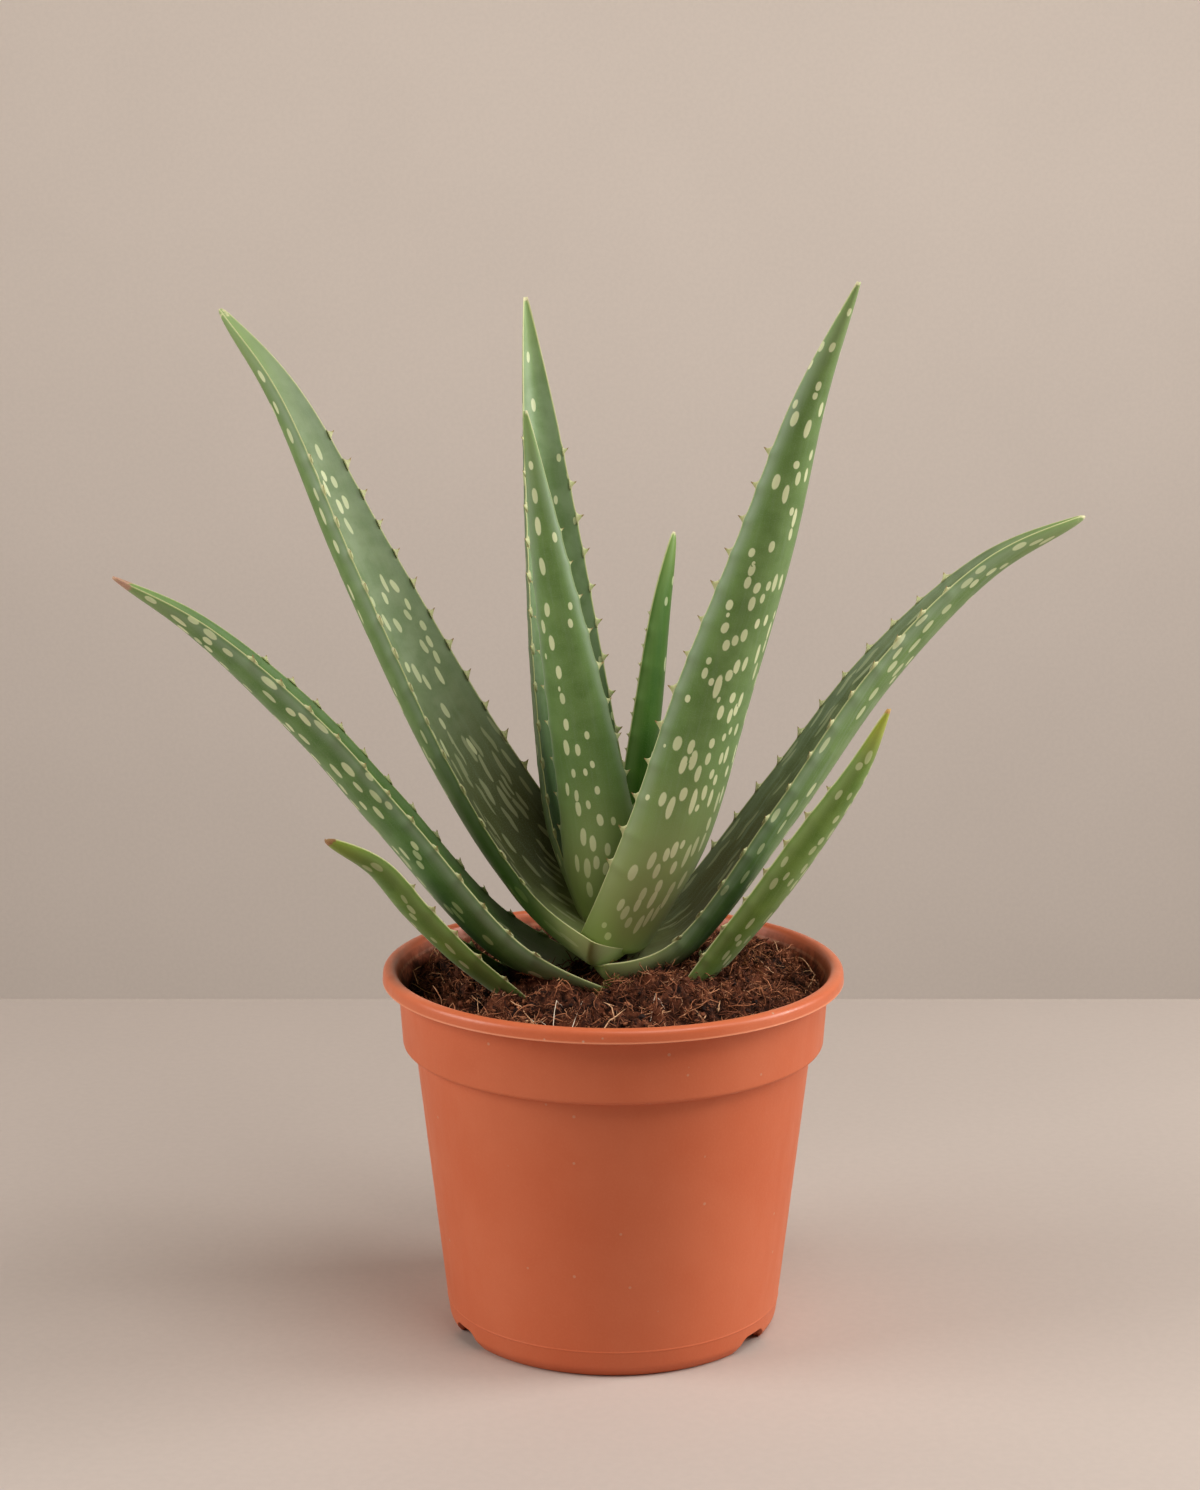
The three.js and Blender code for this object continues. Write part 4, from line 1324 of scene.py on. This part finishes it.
def roundedSection(curve, third, channelPlace, backPlace, sigma):
    # the section's points, evenly spread and rounded at the margins, and their distance from the margin
    step = np.linalg.norm(np.roll(curve, -1, axis=0) - curve, axis=1)
    distance = np.concatenate([[0], np.cumsum(step)])
    total, channelLength = distance[-1], distance[third]
    target = np.concatenate([channelPlace * channelLength, channelLength + backPlace * (total - channelLength)])
    gap = target[:, None] - ((distance[:-1] + distance[1:]) / 2)[None, :]
    gap -= np.rint(gap / total) * total
    weight = np.exp(-0.5 * (gap / sigma) ** 2) * step[None, :]
    reach = weight.sum(axis=1)
    smooth = weight @ ((curve + np.roll(curve, -1, axis=0)) / 2) / np.maximum(reach, 1e-12)[:, None]
    exact = np.stack([np.interp(target, distance, np.append(curve[:, c], curve[0, c])) for c in (0, 1)], axis=-1)
    rim = np.minimum(np.minimum(target, total - target), np.abs(target - channelLength))
    return np.where((reach > 1e-6)[:, None], smooth, exact), rim, channelLength / 2, (total - channelLength) / 2


def swellMargins(curve, v, half, form):
    # the margin swells a little at each tooth
    x = curve[..., 0] / half[:, None]
    for edge in (-1, 1):
        swell = np.zeros(len(v))
        for _, share in (place for place in toothPlaces(form) if place[0] == edge):
            gap = (v - share) * form.length
            swell += np.exp(-(gap / 1.5) ** 2) - 0.35 * np.exp(-(np.abs(gap) / 5) ** 4)
        weight = np.clip((x * edge - 0.8) / 0.2, 0, 1) ** 2
        curve[..., 0] += edge * weight * (swell * leafShape["swell"] * np.minimum(half / 6, 1))[:, None]


def makeLeaf(name, values, seed):
    form = LeafFrame(values)
    chance = random.Random(seed)
    rows, rootRows = int(form.length * leafShape["rowsPerMm"]), leafShape["rootRows"]
    channelPlace, backPlace = sectionSteps()
    channelCount = len(channelPlace)
    around = channelCount + len(backPlace)
    bm = bmesh.new()
    bmesh.ops.create_grid(bm, x_segments=around, y_segments=rows, size=1.0)
    mesh = plainMesh(name, bm)
    flat = np.zeros(len(mesh.vertices) * 3)
    mesh.vertices.foreach_get("co", flat)
    flat = flat.reshape(-1, 3)
    sheetColumn = np.rint((flat[:, 0] + 1) / 2 * around).astype(int)
    column = sheetColumn % around
    row = np.rint((flat[:, 1] + 1) / 2 * rows).astype(int)

    turning = np.linspace(0, math.pi / 2, rootRows, endpoint=False)
    v = np.concatenate([form.rootShare * (1 - np.cos(turning)), np.linspace(form.rootShare, 1, rows + 1 - rootRows)])
    at = form.station(v)
    curve, third = sectionCurve(at)
    swellMargins(curve, v, at["half"], form)
    sigma = np.minimum(leafShape["marginRounding"], at["half"] * 0.12)
    sections = [roundedSection(curve[k], third, channelPlace, backPlace, sigma[k]) for k in range(rows + 1)]
    ring, rim, channelHalf, backHalf = (np.array(part) for part in zip(*sections))
    halfWidths = {"channel": channelHalf, "back": backHalf}
    places = (at["centre"][:, None, :] + at["side"][:, None, :] * ring[..., :1]
              + at["up"][:, None, :] * ring[..., 1:])
    mesh.vertices.foreach_set("co", (np.array([originX, originY, 0]) + places[row, column] * mm).ravel())

    across = np.concatenate([2 * channelPlace - 1, 1 - 2 * backPlace])
    isBack = np.arange(around) >= channelCount
    data = {
        "across": across[column] * np.where(isBack[column], backHalf[row], channelHalf[row]),
        "along": v[row] * form.length,
        "share": at["share"][row],
        "back": isBack[column].astype(float),
        "rim": rim[row, column],
        "thorn": np.zeros(len(row)),
    }
    for key, value in data.items():
        mesh.attributes.new(key, "FLOAT", "POINT").data.foreach_set("value", value.astype(np.float32))

    spots = scatterSpots(values["spots"], form.length, at["share"], halfWidths, chance)
    if "seen" in values:
        spots += seenSpots(*values["seen"], places, isBack, v * form.length, across, chance)
    corners = np.zeros(len(mesh.loops), int)
    mesh.loops.foreach_get("vertex_index", corners)
    corners = corners.reshape(-1, 4)
    sides = np.where(sheetColumn[corners].min(axis=1) < channelCount, "channel", "back")
    channelEnds, backEnds = np.append(2 * channelPlace - 1, 1), np.append(1 - 2 * backPlace, -1)
    inBack = (sides == "back")[:, None]
    place = np.where(inBack, backEnds[np.clip(sheetColumn[corners] - channelCount, 0, len(backPlace))],
                     channelEnds[np.clip(sheetColumn[corners], 0, channelCount)])
    wide = np.where(inBack, backHalf[row[corners]], channelHalf[row[corners]])
    marks = spotMarks(spots, sides, data["along"][corners], place, wide).astype(np.float32)
    mesh.attributes.new("spot", "FLOAT_VECTOR", "CORNER").data.foreach_set("vector", marks.ravel())

    bm = bmesh.new()
    bm.from_mesh(mesh)
    bmesh.ops.remove_doubles(bm, verts=bm.verts, dist=2e-7)
    closeHoles(bm)
    teeth = makeTeeth(form, chance, list(data))
    bm.from_mesh(teeth)
    discard([teeth])
    bm.to_mesh(mesh)
    bm.free()
    mesh.shade_smooth()
    return mesh


def spotPaint(tree, fine):
    # how much of a pale spot there is, a little ragged at its rim
    over, down, bright = parted(attribute(tree, "spot", "Vector"))
    reach = plus(calc("POWER", calc("ABSOLUTE", over, 0.0), 2.0), calc("POWER", calc("ABSOLUTE", down, 0.0), 2.3))
    radius = plus(calc("SQRT", reach, 0.0), times(minus(fine, 0.5), 0.25))
    return times(band(radius, 1.08, 0.86), times(bright, 0.9), clamp=True)


def leafMaterial(name, values):
    look = {**green, **values.get("look", {})}
    material, tree, shader = startMaterial(name, IOR=1.42, Subsurface_Weight=0.08, Subsurface_Scale=0.002,
                                           Subsurface_Radius=(0.5, 1.0, 0.25), Sheen_Weight=0.15, Sheen_Roughness=0.5)
    across, along, share, back, rim, thorn = (
        attribute(tree, key) for key in ("across", "along", "share", "back", "rim", "thorn"))
    sheet = put(tree, "CombineXYZ", {0: across, 1: along, 2: times(back, 40.0)}).outputs[0]
    veins = put(tree, "Mapping", {"Vector": sheet, "Scale": (1.0, leafSkin["streakStretch"], 1.0)}).outputs[0]
    cloud, fine = grain(sheet, leafSkin["cloudScale"], 3.0, 0.55), grain(sheet, leafSkin["fineScale"], 3.0, 0.65)
    streak = grain(veins, leafSkin["streakScale"], 3.0, 0.6)
    # skin, from the channel's own green, painted darker as shade, to the greyer back
    mottle = band(cloud, 0.3, 0.7, 0.2, 0.8)
    inner = mixed(mottle, look["channelDark"], look["channel"])
    # painted shade: the channel turns darker towards its base, down among the other leaves
    if "low" in look:
        inner = mixed(band(share, 0.5, 0.2, 0.0, 0.9), inner, look["low"])
    skin = mixed(band(back, 0.3, 0.7), inner, mixed(mottle, look["backDark"], look["back"]))
    # a grey band beside the margins, partly wax bloom and partly painted sheen; the bloom also lies in faint streaks
    # and in fine grains
    bloomAndSheen = band(plus(rim, times(cloud, 1.2)), *leafSkin["bloomAndSheenReach"], 0.0, leafSkin["bloomAndSheen"])
    bloomAndSheen = times(times(bloomAndSheen, band(rim, 0.5, 1.6, 0.4, 1.0)), band(back, 0.3, 0.7, 0.45, 1.0))
    streaks = band(streak, 0.45, 0.75, 0.0, look["streak"])
    for amount in (bloomAndSheen, streaks, band(fine, 0.46, 0.74, 0.0, leafSkin["fineBloom"])):
        skin = mixed(amount, skin, look["bloomAndSheen"])
    pale = band(plus(share, times(minus(cloud, 0.5), 0.1)), values.get("baseReach", leafSkin["baseReach"]), 0.0)
    spot = spotPaint(tree, fine)
    ragged = plus(share, times(minus(grain(sheet, 0.5, 3.0), 0.5), 0.06))
    dryStart = values.get("dryStart", leafSkin["dryStart"])
    dry = band(ragged, dryStart, dryStart + leafSkin["dryWidth"])
    layers = [
        (times(pale, 0.85), look["base"]),
        (band(share, leafSkin["tipStart"], 1.0, 0.0, 0.7), look["tip"]),
        (spot, look["spot"]),
        (band(rim, *leafSkin["marginLine"], 0.0, 0.85), look["margin"]),
        (band(thorn, 0.55, 0.9, 0.0, 0.85), look["thorn"]),
        (dry, mixed(fine, look["dry"], look["dryLight"])),
    ]
    for amount, colour in layers:
        skin = mixed(amount, skin, colour)
    paintWith(shader, skin, plus(band(fine, 0.3, 0.7, *leafSkin["roughness"]), times(dry, 0.25)))
    relief = plus(times(fine, 0.5), times(streak, 0.5))
    addBump(shader, plus(relief, times(spot, 0.25)), leafSkin["bump"], leafSkin["bumpDepth"] * mm)
    return material


for number, (name, values) in enumerate(leaves.items()):
    mesh = makeLeaf(name + "_skin", values, 11 + number)
    slotName = "fresh_leaf" if name.endswith("short") else "leaf"
    finishPiece(name + "_skin", mesh, leafMaterial(name + "_skin", values), slotName, name)
    print(name, "made", len(mesh.polygons), "faces")

discard([toothShape])


# the hidden crown keeps its solid

crown = {
    "colour": (110, 126, 70),
    "lightColour": (160, 172, 112),
}

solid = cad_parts["stem"]
material, tree, shader = startMaterial("crownFlesh", Roughness=0.7)
paintWith(shader, mixed(grain(objectPlace(tree), 300.0, 4.0), crown["colour"], crown["lightColour"]))
solid.data.materials.clear()
solid.data.materials.append(material)

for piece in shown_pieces():
    print(piece.name, len(piece.data.polygons))
print("ready")
